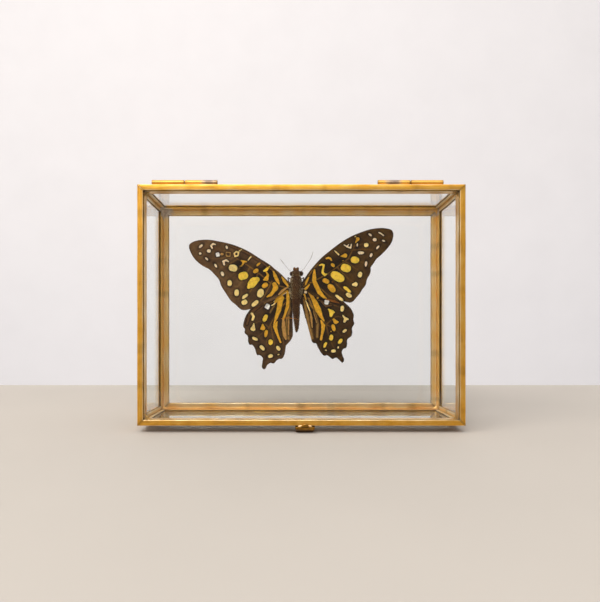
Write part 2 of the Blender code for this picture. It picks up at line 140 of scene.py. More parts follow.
def add_node(tree, kind, inputs=None, stops=None, **properties):
    """One node: its properties, its inputs as values or as sockets to link, and a ramp's stops."""
    node = tree.nodes.new(kind)
    for name, value in properties.items():
        setattr(node, name, value)
    set_inputs(tree, node, inputs or {})
    if stops:
        ramp = node.color_ramp.elements
        for i, (place, colour) in enumerate(stops):
            stop = ramp[i] if i < 2 else ramp.new(place)
            stop.position = place
            stop.color = linear(colour) if isinstance(colour, str) else colour
    return node


def new_material(name):
    """An empty node material with its Principled shader, tree and shader returned with it."""
    material = bpy.data.materials.new(name)
    material.use_nodes = True
    tree = material.node_tree
    return material, tree, tree.nodes["Principled BSDF"]


def setting(group):
    """One of the add-on's groups of settings on the scene."""
    return getattr(bpy.context.scene, group)


WAVE_SINES = 7
WAVE_GAIN = 1.6
SHARP_ANGLE = math.radians(40)
CURVE_STEPS = 16


def wave(seed, wavelength, *places):
    """A smooth irregular wave from about -1 to 1: the mean of sines in unlike directions.

    Each sine runs along its own random direction through the places, with a
    wavelength between 0.6 and 1.8 times the one given and its own phase.
    """
    random = np.random.default_rng(seed)
    total = 0
    for _ in range(WAVE_SINES):
        direction = random.normal(size=len(places))
        direction /= np.linalg.norm(direction) * wavelength * random.uniform(0.6, 1.8)
        along = sum(d * p for d, p in zip(direction, places))
        total = total + np.sin(2 * math.pi * (along + random.uniform()))
    return total / WAVE_SINES * WAVE_GAIN


def smooth(low, high, value):
    """0 at low, 1 at high, and the S curve 3t^2 - 2t^3 between."""
    t = np.clip((value - low) / (high - low), 0, 1)
    return t * t * (3 - 2 * t)


def grid_faces(rows, columns, wrap=False, start=0):
    """Quads over a grid of points numbered row by row; wrap joins the last column to the first."""
    row = np.arange(rows - 1)[:, None] * columns + start
    column = np.arange(columns if wrap else columns - 1)[None, :]
    after = (column + 1) % columns
    corners = [row + column, row + after, row + columns + after, row + columns + column]
    return np.stack(corners, -1).reshape(-1, 4)


def ball_faces(rows, columns):
    """Walls round a stack of rings, and triangles to a point at each end, numbered after the rings."""
    around = np.arange(columns)
    after, last = np.roll(around, -1), (rows - 1) * columns
    caps = np.concatenate([
        stacked(after, around, rows * columns),
        stacked(around + last, after + last, rows * columns + 1),
    ])
    return [grid_faces(rows, columns, wrap=True), caps]


def tube_faces(rows, columns):
    """Walls round a stack of rings, and one face across the first ring and one across the last."""
    around = np.arange(columns)[None]
    return [grid_faces(rows, columns, wrap=True), around[:, ::-1], (rows - 1) * columns + around]


def turned_out(points, faces):
    """The faces of a closed surface, turned round if its signed volume is negative."""
    volume = 0.0
    for group in faces:
        a = points[group[:, 0]]
        for k in range(1, group.shape[1] - 1):
            b, c = points[group[:, k]], points[group[:, k + 1]]
            volume += np.einsum("ij,ij->", a, np.cross(b, c))
    return faces if volume > 0 else [group[:, ::-1] for group in faces]


def add_piece(name, points, faces, material, body, slot, replaces=(), flat=False, uv=None,
              **attributes):
    """A closed mesh from box-frame points and groups of equal-sized faces, with what it rides on.

    Attributes are one number or one colour for each point, or one number for
    all. The surface is turned outwards, and smooth faces meet sharply beyond
    SHARP_ANGLE.
    """
    points = to_world(points.reshape(-1, 3))
    points = points.astype(np.float32).astype(float)
    faces = turned_out(points - points.mean(0), [np.asarray(group) for group in faces])
    mesh = bpy.data.meshes.new(name)
    corners = np.concatenate([group.ravel() for group in faces])
    sizes = np.concatenate([np.full(len(group), group.shape[1]) for group in faces])
    mesh.vertices.add(len(points))
    mesh.vertices.foreach_set("co", points.ravel())
    mesh.loops.add(len(corners))
    mesh.loops.foreach_set("vertex_index", corners)
    mesh.polygons.add(len(sizes))
    mesh.polygons.foreach_set("loop_start", np.concatenate([[0], np.cumsum(sizes)[:-1]]))
    mesh.update(calc_edges=True)
    if uv is not None:
        layer = mesh.uv_layers.new(name="UVMap")
        layer.data.foreach_set("uv", np.asarray(uv).reshape(-1, 2)[corners].ravel())
    for label, values in attributes.items():
        values = np.asarray(values, float) if np.ndim(values) else np.full(len(points), float(values))
        if values.size == 3 * len(points):
            shades = np.concatenate([values.reshape(-1, 3), np.ones((len(points), 1))], 1)
            layer = mesh.color_attributes.new(label, "FLOAT_COLOR", "POINT")
            layer.data.foreach_set("color", shades.ravel())
        else:
            layer = mesh.attributes.new(label, "FLOAT", "POINT")
            layer.data.foreach_set("value", values.ravel())
    if not flat:
        mesh.shade_smooth()
        mesh.set_sharp_from_angle(angle=SHARP_ANGLE)
    mesh.materials.append(material)
    piece = bpy.data.objects.new(name, mesh)
    bpy.context.scene.collection.objects.link(piece)
    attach(piece, body)
    if replaces:
        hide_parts(*replaces)


def smooth_line(knots, count):
    """Points evenly spread along a Catmull-Rom curve through the knots, whatever their columns.

    Between two knots b and c, with neighbours a and d, the curve is
    b + t(c-a)/2 + t^2(2a-5b+4c-d)/2 + t^3(3b-a-3c+d)/2.
    """
    k = np.asarray(knots, float)
    k = np.concatenate([[2 * k[0] - k[1]], k, [2 * k[-1] - k[-2]]])
    t = np.linspace(0, 1, CURVE_STEPS + 1)[:-1][None, :, None]
    a, b, c, d = (k[i:len(k) - 3 + i][:, None] for i in range(4))
    curve = b + t * (c - a) / 2 + t**2 * (2 * a - 5 * b + 4 * c - d) / 2
    curve = curve + t**3 * (3 * b - a - 3 * c + d) / 2
    curve = np.concatenate([curve.reshape(-1, k.shape[1]), k[-2:-1]])
    return even_spread(curve, count)


def even_spread(line, count):
    """Points at equal steps of length along a line of points, measured in its first three columns."""
    steps = np.linalg.norm(np.diff(line[:, :3], axis=0), axis=1)
    length = np.concatenate([[0], np.cumsum(steps)])
    places = np.linspace(0, length[-1], count)
    return np.stack([np.interp(places, length, column) for column in line.T], 1)


def rounded_profile(corners, radii, steps):
    """A closed profile whose corners are quadratic curves that start and end a radius away.

    From each corner c, with s and e a radius towards its neighbours, the curve
    is (1-t)^2 s + 2t(1-t) c + t^2 e.
    """
    c = np.asarray(corners, float)
    r = np.broadcast_to(np.asarray(radii, float), len(c))[:, None]
    before, after = np.roll(c, 1, 0) - c, np.roll(c, -1, 0) - c
    s = c + r * before / np.linalg.norm(before, axis=1, keepdims=True)
    e = c + r * after / np.linalg.norm(after, axis=1, keepdims=True)
    t = np.linspace(0, 1, steps + 1)[None, :, None]
    curve = (1 - t)**2 * s[:, None] + 2 * t * (1 - t) * c[:, None] + t**2 * e[:, None]
    return curve.reshape(-1, 2)


def tube_along(centres, radii, sides):
    """Points and faces of a round limb: circles across a path, closed at both ends.

    The circles stand in a frame carried along the path, whose first direction
    is the tangent crossed with a fixed axis.
    """
    centres = np.asarray(centres, float)
    tangents = np.gradient(centres, axis=0)
    tangents /= np.linalg.norm(tangents, axis=1, keepdims=True)
    fixed = np.eye(3)[np.abs(tangents).mean(0).argmin()]
    first = np.cross(tangents, fixed)
    first /= np.linalg.norm(first, axis=1, keepdims=True)
    second = np.cross(tangents, first)
    turns = np.linspace(0, 2 * math.pi, sides, endpoint=False)[None, :, None]
    radii = np.broadcast_to(np.asarray(radii, float), len(centres))[:, None, None]
    rings = centres[:, None] + radii * (np.cos(turns) * first[:, None] + np.sin(turns) * second[:, None])
    return rings.reshape(-1, 3), tube_faces(len(centres), sides)


def colour_property(name, description, code):
    """A colour setting whose default is an sRGB hex value."""
    return bpy.props.FloatVectorProperty(
        name=name, description=description, subtype="COLOR", size=4, min=0, max=1,
        default=linear(code),
    )


def number_property(name, description, default, **limits):
    """A number setting with its default and its least and greatest values."""
    return bpy.props.FloatProperty(name=name, description=description, default=default, **limits)


class BrassSettings(bpy.types.PropertyGroup):
    """Sizes and colours of the brass channel and the solder."""

    main: colour_property("Brass", "Main colour of the rolled brass", "#d99e38")
    light: colour_property("Clear brass", "Where handling keeps it bright", "#eabc60")
    # The edge colour is nearly white: partly metal worn bright, partly a painted highlight along the folds
    rubbed: colour_property("Rubbed edges", "Along the folds, rubbed nearly white", "#fff0c8")
    dark: colour_property("Clouded brass", "Where the metal has dulled", "#9c6a20")
    # The brass inside the box is painted paler: partly dusting, partly painted light that brightens it
    inner: colour_property("Sheltered brass", "Paler brass inside the box", "#ffcd6c")
    tarnish: colour_property("Tarnish", "Brown film at joints and on old brass", "#5a3a17")
    solder_grey: colour_property("Solder", "Dull lead-tin solder", "#e6d5c0")
    roughness: number_property("Roughness", "Roughness of the bright brass", 0.42, min=0.05, max=1)
    corner: number_property(
        "Fold radius", "Outside radius where the sheet is folded, in millimetres", 0.55, min=0.05, max=1)
    wobble: number_property(
        "Hand wobble", "How far a bar strays from straight, in millimetres", 0.035, min=0, max=0.1)


class GlassSettings(bpy.types.PropertyGroup):
    """Finish of the six panes and of the clear rod."""

    tint: colour_property("Glass", "What the glass lets through", "#fefffe")
    index: number_property(
        "Index", "Index of refraction, matched to the pale reflections", 1.4, min=1, max=2)


class ButterflySettings(bpy.types.PropertyGroup):
    """Sizes and colours of the dried butterfly."""

    ground: colour_property("Ground", "Dark scales near the body", "#2c1a07")
    # The left edge colour is paler than the right: a painted sheen, the glare of the light from the left on the
    # left wings
    ground_left: colour_property("Left edge", "Paler scales on the outer left wings", "#72512f")
    ground_right: colour_property("Right edge", "Brown scales on the outer right wings", "#573a10")
    underside: colour_property("Underside", "Brown of the underside", "#6a4e33")
    yellow: colour_property("Yellow", "Faded yellow of the larger marks", "#ffd448")
    gold: colour_property("Gold", "Deep yellow of the bands near the body", "#eaac2b")
    pale: colour_property("Pale", "Pale yellow of the outer marks", "#ffe08c")
    cream: colour_property("Cream", "Cream of the smallest marks", "#ffe6b8")
    orange: colour_property("Orange", "Rust orange along the front margin", "#a8621c")
    white: colour_property("White", "The bare white marks", "#fffaf0")
    tan: colour_property("Tan", "Hairy tan folds beside the body", "#c8944a")
    umber: colour_property("Umber", "Brown film along the front margins", "#6c4823")
    vein_brown: colour_property("Vein", "Gold-brown of the main veins", "#a5722b")
    fur: colour_property("Fur", "Brown hair down the middle of the body", "#694711")
    fur_pale: colour_property("Pale fur", "Worn hair along the thorax's sides", "#d8c092")
    skin: colour_property("Skin", "Dark skin of the body", "#4c2c08")
    thickness: number_property(
        "Wing thickness", "Thickness of a wing, in millimetres", 0.12, min=0.05, max=0.3)
    vein: number_property("Vein height", "How far a vein stands out, in millimetres", 0.06, min=0, max=0.15)
    hairs: bpy.props.IntProperty(
        name="Hairs", description="Hairs on the thorax and head", default=3600, min=0, max=9000,
    )
    hair_length: number_property(
        "Hair length", "Longest hair on the thorax, in millimetres", 1.0, min=0.1, max=2)


class StageSettings(bpy.types.PropertyGroup):
    """Floor, wall and light."""

    floor: colour_property("Floor", "Plain pale floor", "#b6aea4")
    wall: colour_property("Wall", "Plain pale wall", "#f2edec")
    key_power: number_property(
        "Key light", "Power of the large light at the upper left, in watts", 5.0, min=0)
    side_power: number_property("Side light", "Power of the large light at the left, in watts", 0.4, min=0)
    front_power: number_property(
        "Front light", "Power of the large light high in front, in watts", 11.0, min=0)
    wall_power: number_property("Wall light", "Power of the light over the wall, in watts", 3.0, min=0)
    sky: number_property("Sky", "Strength of the light from all round", 0.74, min=0)


SETTINGS = {
    "glass_box_brass": BrassSettings,
    "glass_box_glass": GlassSettings,
    "glass_box_butterfly": ButterflySettings,
    "glass_box_stage": StageSettings,
}
# How metallic brass still looks where it is painted palest inside the box: under the thickest dusting, with
# painted light that brightens it
DUST_AND_LIGHT_METALLIC = 0.3


def brass_finish(name, tarnished=0.0, base_dust_and_light=0.0):
    """Rolled brass sheet, folded by hand and unlacquered: satin along the roll, clouded by handling.

    Clouds and fine mottling are colour and roughness, and the roll lines and
    small dents are bump. The tarnish attribute darkens joints, and the tinned
    attribute greys the metal where solder has run over it. The edge attribute
    paints near-white lines along the folds: partly metal worn bright, partly
    painted highlight. The attribute for the brass inside the box paints it
    paler and less metallic: partly a dusting that scatters light, partly
    painted light that brightens it.
    """
    brass = setting("glass_box_brass")
    material, tree, shader = new_material(name)
    place = add_node(tree, "ShaderNodeTexCoord")
    # Roll lines 0.45 mm apart, coarser than the real ones so that they show
    run = add_node(tree, "ShaderNodeMapping", {
        "Vector": place.outputs["UV"], "Scale": (per_mm(16), per_mm(0.45), 1.0),
    })
    roll = add_node(tree, "ShaderNodeTexNoise", {"Vector": run.outputs[0], "Scale": 1.0, "Detail": 4.0})
    clouds = add_node(tree, "ShaderNodeTexNoise", {
        "Vector": place.outputs["Object"], "Scale": per_mm(7), "Detail": 4.0, "Roughness": 0.55,
    })
    drawn = add_node(tree, "ShaderNodeMapping", {
        "Vector": place.outputs["UV"], "Scale": (per_mm(8), per_mm(0.6), 1.0),
    })
    mottle = add_node(tree, "ShaderNodeTexNoise", {
        "Vector": drawn.outputs[0], "Scale": 1.0, "Detail": 4.0, "Roughness": 0.6,
    })
    worn = add_node(tree, "ShaderNodeMix", {
        "Factor": 0.5, "A": clouds.outputs["Fac"], "B": mottle.outputs["Fac"],
    }, data_type="FLOAT")
    shade = add_node(tree, "ShaderNodeValToRGB", {"Fac": worn.outputs[0]}, stops=[
        (0.25, brass.dark), (0.75, brass.light), (0.5, brass.main),
    ])
    sheltered, rubbed, tinned, tarnish = (
        add_node(tree, "ShaderNodeAttribute", attribute_name=label).outputs["Fac"]
        for label in ("sheltered", "rubbed", "tinned", "tarnish")
    )
    dust_and_light = add_node(tree, "ShaderNodeMath", {0: sheltered, 1: base_dust_and_light}, operation="ADD", use_clamp=True)
    film = add_node(tree, "ShaderNodeMath", {0: tarnish, 1: tarnished}, operation="ADD", use_clamp=True)
    # Each layer lies over the ones before it: the pale colour inside the box, partly dusting and partly painted
    # light; the painted highlight along the folds, partly worn metal; solder; tarnish
    colour = shade.outputs["Color"]
    for share, tint in (
        (dust_and_light.outputs[0], brass.inner), (rubbed, brass.rubbed), (tinned, brass.solder_grey),
        (film.outputs[0], brass.tarnish),
    ):
        layer = add_node(tree, "ShaderNodeMix", {"Factor": share, 6: colour, 7: tint}, data_type="RGBA")
        colour = layer.outputs[2]
    dull = add_node(tree, "ShaderNodeMapRange", {
        "Value": worn.outputs[0], "From Min": 0.3, "From Max": 0.7,
        "To Min": brass.roughness + 0.06, "To Max": brass.roughness - 0.04,
    })
    polished = add_node(tree, "ShaderNodeMix", {
        "Factor": rubbed, "A": dull.outputs[0], "B": 0.3,
    }, data_type="FLOAT")
    lines = add_node(tree, "ShaderNodeBump", {
        "Height": roll.outputs["Fac"], "Strength": 0.5, "Distance": 0.06 * MM,
    })
    dents = add_node(tree, "ShaderNodeBump", {
        "Height": clouds.outputs["Fac"], "Strength": 0.12, "Distance": 0.3 * MM,
        "Normal": lines.outputs[0],
    })
    bare = add_node(tree, "ShaderNodeMapRange", {
        "Value": dust_and_light.outputs[0], "To Min": 1.0, "To Max": DUST_AND_LIGHT_METALLIC,
    })
    set_inputs(tree, shader, {
        "Base Color": colour, "Roughness": polished.outputs[0],
        "Metallic": bare.outputs[0], "Normal": dents.outputs[0],
    })
    return material


def solder_finish():
    """Lead-tin solder that has cooled in the open: dull, frosted, with browned flux in its dips."""
    brass = setting("glass_box_brass")
    material, tree, shader = new_material("dull_solder")
    place = add_node(tree, "ShaderNodeTexCoord")
    frost = add_node(tree, "ShaderNodeTexNoise", {
        "Vector": place.outputs["Object"], "Scale": per_mm(0.9), "Detail": 4.0, "Roughness": 0.6,
    })
    shade = add_node(tree, "ShaderNodeValToRGB", {"Fac": frost.outputs["Fac"]}, stops=[
        (0.25, "#c4b098"), (0.75, "#f4e8d8"), (0.5, brass.solder_grey),
    ])
    bright = add_node(tree, "ShaderNodeAttribute", attribute_name="tarnish")
    gilt = add_node(tree, "ShaderNodeMix", {
        "Factor": bright.outputs["Fac"], 6: shade.outputs["Color"], 7: brass.inner,
    }, data_type="RGBA")
    rough = add_node(tree, "ShaderNodeMapRange", {
        "Value": frost.outputs["Fac"], "To Min": 0.65, "To Max": 0.5,
    })
    smoother = add_node(tree, "ShaderNodeMix", {
        "Factor": bright.outputs["Fac"], "A": rough.outputs[0], "B": 0.35,
    }, data_type="FLOAT")
    grain = add_node(tree, "ShaderNodeBump", {
        "Height": frost.outputs["Fac"], "Strength": 0.3, "Distance": 0.1 * MM,
    })
    set_inputs(tree, shader, {
        "Base Color": gilt.outputs[2], "Roughness": smoother.outputs[0], "Metallic": 0.7,
        "Normal": grain.outputs[0],
    })
    return material


def glass_finish(name, smears):
    """Thin float glass, cut by hand and wiped: clear, with faint smears in its gloss."""
    glass = setting("glass_box_glass")
    material, tree, shader = new_material(name)
    place = add_node(tree, "ShaderNodeTexCoord")
    wiped = add_node(tree, "ShaderNodeTexNoise", {
        "Vector": place.outputs["Object"], "Scale": per_mm(16), "Detail": 3.0, "Distortion": 0.8,
    })
    rough = add_node(tree, "ShaderNodeMapRange", {
        "Value": wiped.outputs["Fac"], "From Min": 0.55, "From Max": 0.8, "To Max": smears,
    })
    set_inputs(tree, shader, {
        "Base Color": glass.tint, "Roughness": rough.outputs[0], "Transmission Weight": 1.0,
        "IOR": glass.index,
    })
    return material


def wing_finish(name):
    """Dried wing scales: soft and matt, in rows across the wing, with crisp marks.

    The mark attribute is the distance in millimetres to the edge of the
    nearest mark, positive inside it. A little noise makes its edge follow
    single scales, and the ground is darkest just outside it.
    """
    material, tree, shader = new_material(name)
    place = add_node(tree, "ShaderNodeTexCoord")
    # Scale rows 0.22 mm apart, twice as coarse as the real ones so that they show
    rows = add_node(tree, "ShaderNodeMapping", {
        "Vector": place.outputs["UV"], "Scale": (per_mm(0.22), per_mm(0.5), 1.0),
    })
    scales = add_node(tree, "ShaderNodeTexNoise", {"Vector": rows.outputs[0], "Scale": 1.0, "Detail": 2.0})
    edge = add_node(tree, "ShaderNodeTexNoise", {
        "Vector": place.outputs["Object"], "Scale": per_mm(0.35), "Detail": 2.0,
    })
    mark = add_node(tree, "ShaderNodeAttribute", attribute_name="mark")
    jagged = add_node(tree, "ShaderNodeMapRange", {
        "Value": edge.outputs["Fac"], "To Min": -0.09, "To Max": 0.09,
    })
    at = add_node(tree, "ShaderNodeMath", {0: mark.outputs["Fac"], 1: jagged.outputs[0]}, operation="ADD")
    inside = add_node(tree, "ShaderNodeMapRange", {
        "Value": at.outputs[0], "From Min": -0.07, "From Max": 0.09,
    }, interpolation_type="SMOOTHSTEP")
    halo = add_node(tree, "ShaderNodeMapRange", {
        "Value": at.outputs[0], "From Min": -0.9, "From Max": -0.12, "To Min": 1.0, "To Max": 0.38,
    }, interpolation_type="SMOOTHSTEP")
    ground = add_node(tree, "ShaderNodeAttribute", attribute_name="ground")
    tint = add_node(tree, "ShaderNodeAttribute", attribute_name="tint")
    dark = add_node(tree, "ShaderNodeMix", {
        "Factor": 1.0, 6: ground.outputs["Color"], 7: halo.outputs[0],
    }, data_type="RGBA", blend_type="MULTIPLY")
    marked = add_node(tree, "ShaderNodeMix", {
        "Factor": inside.outputs[0], 6: dark.outputs[2], 7: tint.outputs["Color"],
    }, data_type="RGBA")
    fade = add_node(tree, "ShaderNodeTexNoise", {
        "Vector": place.outputs["Object"], "Scale": per_mm(1.3), "Detail": 2.0,
    })
    both = add_node(tree, "ShaderNodeMix", {
        "Factor": 0.6, "A": scales.outputs["Fac"], "B": fade.outputs["Fac"],
    }, data_type="FLOAT")
    grain = add_node(tree, "ShaderNodeMapRange", {
        "Value": both.outputs[0], "From Min": 0.3, "From Max": 0.7, "To Min": 0.7, "To Max": 1.35,
    })
    scaled = add_node(tree, "ShaderNodeMix", {
        "Factor": 1.0, 6: marked.outputs[2], 7: grain.outputs[0],
    }, data_type="RGBA", blend_type="MULTIPLY")
    relief = add_node(tree, "ShaderNodeBump", {
        "Height": scales.outputs["Fac"], "Strength": 0.35, "Distance": 0.04 * MM,
    })
    set_inputs(tree, shader, {
        "Base Color": scaled.outputs[2], "Roughness": 0.62, "Specular IOR Level": 0.1,
        "Normal": relief.outputs[0],
    })
    return material


def skin_finish(name, colour, rough=0.5, grain=0.3, pale=None):
    """Dried insect skin or hair in one brown that clouds over a few tenths of a millimetre.

    Given a pale colour as well, the pale attribute mixes it in.
    """
    material, tree, shader = new_material(name)
    place = add_node(tree, "ShaderNodeTexCoord")
    fleck = add_node(tree, "ShaderNodeTexNoise", {
        "Vector": place.outputs["Object"], "Scale": per_mm(grain), "Detail": 4.0,
    })
    tone = add_node(tree, "ShaderNodeMapRange", {
        "Value": fleck.outputs["Fac"], "From Min": 0.3, "From Max": 0.7, "To Min": 0.65, "To Max": 1.4,
    })
    share = add_node(tree, "ShaderNodeAttribute", attribute_name="pale")
    mixed = add_node(tree, "ShaderNodeMix", {
        "Factor": share.outputs["Fac"], 6: colour, 7: pale or colour,
    }, data_type="RGBA")
    shade = add_node(tree, "ShaderNodeMix", {
        "Factor": 1.0, 6: mixed.outputs[2], 7: tone.outputs[0],
    }, data_type="RGBA", blend_type="MULTIPLY")
    relief = add_node(tree, "ShaderNodeBump", {
        "Height": fleck.outputs["Fac"], "Strength": 0.4, "Distance": 0.05 * MM,
    })
    set_inputs(tree, shader, {
        "Base Color": shade.outputs[2], "Roughness": rough, "Specular IOR Level": 0.15,
        "Normal": relief.outputs[0],
    })
    return material


# How far tarnish reaches from a bar's ends and, where it isn't said, from its crease
JOINT_STAIN = 0.7
CREASE_STAIN = 0.3
# How far solder covers the back bars from their two ends; a bare end's reach is
# far below zero, and on the outer faces every run is shorter
BARE_END = -9.0
BARE_ENDS = (BARE_END, BARE_END)
BACK_RUNS = {"top": (7.0, BARE_END), "left": (BARE_END, 6.4), "right": (BARE_END, 5.6)}
OUTER_SHORTER = 3.0
# The one depth bar that solder has run on, at its rear end: the top left one
DEPTH_RUN = 2.0
# The creases of the back frame and of the depth bars stain less than the others.
# The back frame's bottom bar, and the rim, carry only this share of the pale colour that
# the brass inside the box carries, partly dusting and partly painted light, so that the
# bottom bar is painted darker than the top one
BACK_STAIN = 0.12
DEPTH_STAIN = 0.2
BACK_DUST_AND_LIGHT = {"bottom": 0.35}
RIM_DUST_AND_LIGHT = 0.3
BAR_STEPS = 150
CORNER_STEPS = 5
END_STEADY = 4.0


def joint_tarnish(share, length, seed, along, from_crease, stain):
    """Tarnish that fades away from a bar's two ends and from its crease, plus faint patches."""
    from_end = np.minimum(share, 1 - share) * length
    patches = 0.2 * smooth(0.45, 1.0, wave(seed, 11.0, along))
    crease = 0.65 * np.exp(-(from_crease / stain)**2)
    return np.clip(0.45 * np.exp(-from_end / JOINT_STAIN) + patches + crease, 0, 1)


def swept_bar(name, shape, length, mitre, place, seed, body, material, stain=CREASE_STAIN,
              runs=BARE_ENDS, dust_and_light=1.0):
    """A bar: its rounded section carried along a nearly straight line.

    At the share t of the length, a point with inset u lies at
    m + t(L - 2m) along it, where m is u plus half the seam on a mitred bar.
    The whole section strays by two slow waves that die out at the ends.

    The shape is five things: the section's corners, the radius of each, the
    crease where two lips meet and film collects as far as the stain, the folds
    that get painted highlight lines, partly metal worn bright, each with the
    width of its line, and a function for the share of a place that the box
    shelters. The share given carries that much of the pale colour of the brass
    inside the box, partly dusting and partly painted light, and the runs are
    how far solder covers the bar from its ends, less on its outer faces, with
    a ragged edge.
    """
    section, radii, crease, folds, inside = shape
    brass = setting("glass_box_brass")
    profile = rounded_profile(section, radii, CORNER_STEPS)
    inset, across = profile[:, 0][None], profile[:, 1][None]
    share = np.linspace(0, 1, BAR_STEPS)[:, None]
    cut = inset + SEAM / 2 if mitre else np.zeros_like(inset)
    along = cut + share * (length - 2 * cut)
    steady = smooth(0, END_STEADY / length, share) * smooth(0, END_STEADY / length, 1 - share)
    sway = brass.wobble * steady * wave(seed, 28.0, along)
    bulge = brass.wobble * steady * wave(seed + 1, 17.0, along)
    lips = brass.wobble * steady * wave(seed + 2, 9.0, along) * inset / LIP
    points = stacked(*place(along, np.maximum(inset + sway, 0), across + bulge * 0.6 + lips * 0.8))
    outer = 1 - inside(inset, across)
    ragged = (0.25 + 0.6 * outer) * wave(seed + 3, 2.0, inset, across) + OUTER_SHORTER * outer
    # Painted highlight lines along the folds, partly metal worn bright, stronger and weaker along the bar
    wear_and_highlight = 0.65 + 0.4 * wave(seed + 4, 14.0, along)
    rubbed = sum(np.exp(-((inset - u)**2 + (across - w)**2) / wide**2) for u, w, wide in folds)
    around = np.concatenate([[0], np.cumsum(np.linalg.norm(np.diff(profile, axis=0), axis=1))])
    uv = stacked((along + 40.0 * seed) * MM, around[None] * MM)
    add_piece(
        f"{name}_channel", points, tube_faces(share.size, inset.size), material, body, "brass",
        replaces=[name], uv=uv,
        tarnish=joint_tarnish(share, length, seed, along,
                              np.hypot(inset - crease[0], across - crease[1]), stain),
        rubbed=np.clip(rubbed * wear_and_highlight, 0, 0.9), sheltered=dust_and_light * inside(inset, across) + 0 * along,
        tinned=np.maximum(smooth(0.2, -0.2, along - runs[0] + ragged),
                          smooth(0.2, -0.2, length - along - runs[1] + ragged)),
    )


def mitred_frame(prefix, shape, body, seed, material, stain=CREASE_STAIN, runs=(), dust_and_light_shares=()):
    """Four bars round the box's front or back, mitred at the corners.

    A place turns (along, inset, y) into the box's frame for each side: the
    inset is measured inwards from the box's outside. The runs of solder, and
    the shares of pale colour (partly dusting, partly painted light), are given
    only for the sides that aren't bare or fully pale.
    """
    sides = {
        "bottom": lambda s, u, y: (s - WIDTH / 2, y, u),
        "top": lambda s, u, y: (s - WIDTH / 2, y, HEIGHT - u),
        "left": lambda s, u, y: (u - WIDTH / 2, y, s),
        "right": lambda s, u, y: (WIDTH / 2 - u, y, s),
    }
    for i, (side, place) in enumerate(sides.items()):
        length = WIDTH if side in ("bottom", "top") else HEIGHT
        swept_bar(f"{prefix}_bar_{side}", shape, length, True, place, seed + 7 * i, body, material,
                  stain, dict(runs).get(side, BARE_ENDS), dict(dust_and_light_shares).get(side, 1.0))


def lid_section():
    """A channel open towards the middle of the lid, with the radius of each corner."""
    fold = setting("glass_box_brass").corner
    front, rear = LID_FRONT + SHEET, LID_BACK - SHEET
    corners = [
        (0, LID_FRONT), (LIP, LID_FRONT), (LIP, front), (SHEET, front),
        (SHEET, rear), (LIP, rear), (LIP, LID_BACK), (0, LID_BACK),
    ]
    radii = [fold, 0.28, 0.06, 0.1, 0.1, 0.06, 0.28, fold * 0.7]
    # Folds that get a painted highlight line, partly metal worn bright
    folds = ((0.05, LID_FRONT + 0.05, 0.2), (LIP - 0.05, LID_FRONT + 0.05, 0.15))
    return corners, radii, (LIP, LID_BACK), folds, lambda u, w: 0 * u


def rim_section():
    """A channel open to the rear, over the front edges of the four side panes."""
    fold = setting("glass_box_brass").corner
    web, inner = RIM_FRONT + SHEET, WALL - SHEET
    corners = [
        (0, RIM_FRONT), (WALL, RIM_FRONT), (WALL, RIM_END), (inner, RIM_END),
        (inner, web), (SHEET, web), (SHEET, RIM_END), (0, RIM_END),
    ]
    radii = [fold * 0.7, fold * 0.6, 0.14, 0.14, 0.1, 0.1, 0.14, 0.14]
    # The fold that gets a painted highlight line, partly metal worn bright
    folds = ((WALL - 0.05, RIM_FRONT + 0.1, 0.4),)
    return corners, radii, (0, RIM_FRONT), folds, lambda u, w: RIM_DUST_AND_LIGHT * smooth(WALL - 0.2, WALL, u)


def back_section():
    """An angle with two slots, one for a side pane and one for the back pane.

    A narrow groove where the two channels meet leaves the flange a rounded
    edge of its own, which catches the light.
    """
    fold = setting("glass_box_brass").corner
    inner, reach, floor = WALL - SHEET, WALL + LIP, BACK_INNER + 0.26
    corners = [
        (0, BACK), (0, BACK_START), (SHEET, BACK_START), (SHEET, BACK_INNER),
        (inner, BACK_INNER), (inner, BACK_START), (WALL, BACK_START), (WALL, floor),
        (WALL + 0.12, floor), (WALL + 0.2, BACK_INNER + 0.12), (WALL + 0.6, BACK_INNER),
        (reach, BACK_INNER), (reach, BACK_INNER + SHEET), (WALL, BACK_INNER + SHEET),
        (WALL, BACK - SHEET), (reach, BACK - SHEET), (reach, BACK),
    ]
    radii = [fold, 0.12, 0.12, 0.1, 0.1, 0.12, 0.15, 0.04, 0.04, 0.08, 0.25, 0.28, 0.04, 0.02, 0.1,
             0.14, 0.14]
    # Folds that get a painted highlight line, partly metal worn bright
    folds = ((WALL + 0.5, BACK_INNER, 0.4), (reach - 0.1, BACK_INNER, 0.2))

    def inside(u, w):
        """Sheltered past the wall's thickness and before the back pane: painted paler there."""
        return smooth(WALL - 0.2, WALL, u) * smooth(BACK_INNER + SHEET, BACK_INNER + 0.2, w)

    return corners, radii, (WALL, BACK_INNER), folds, inside


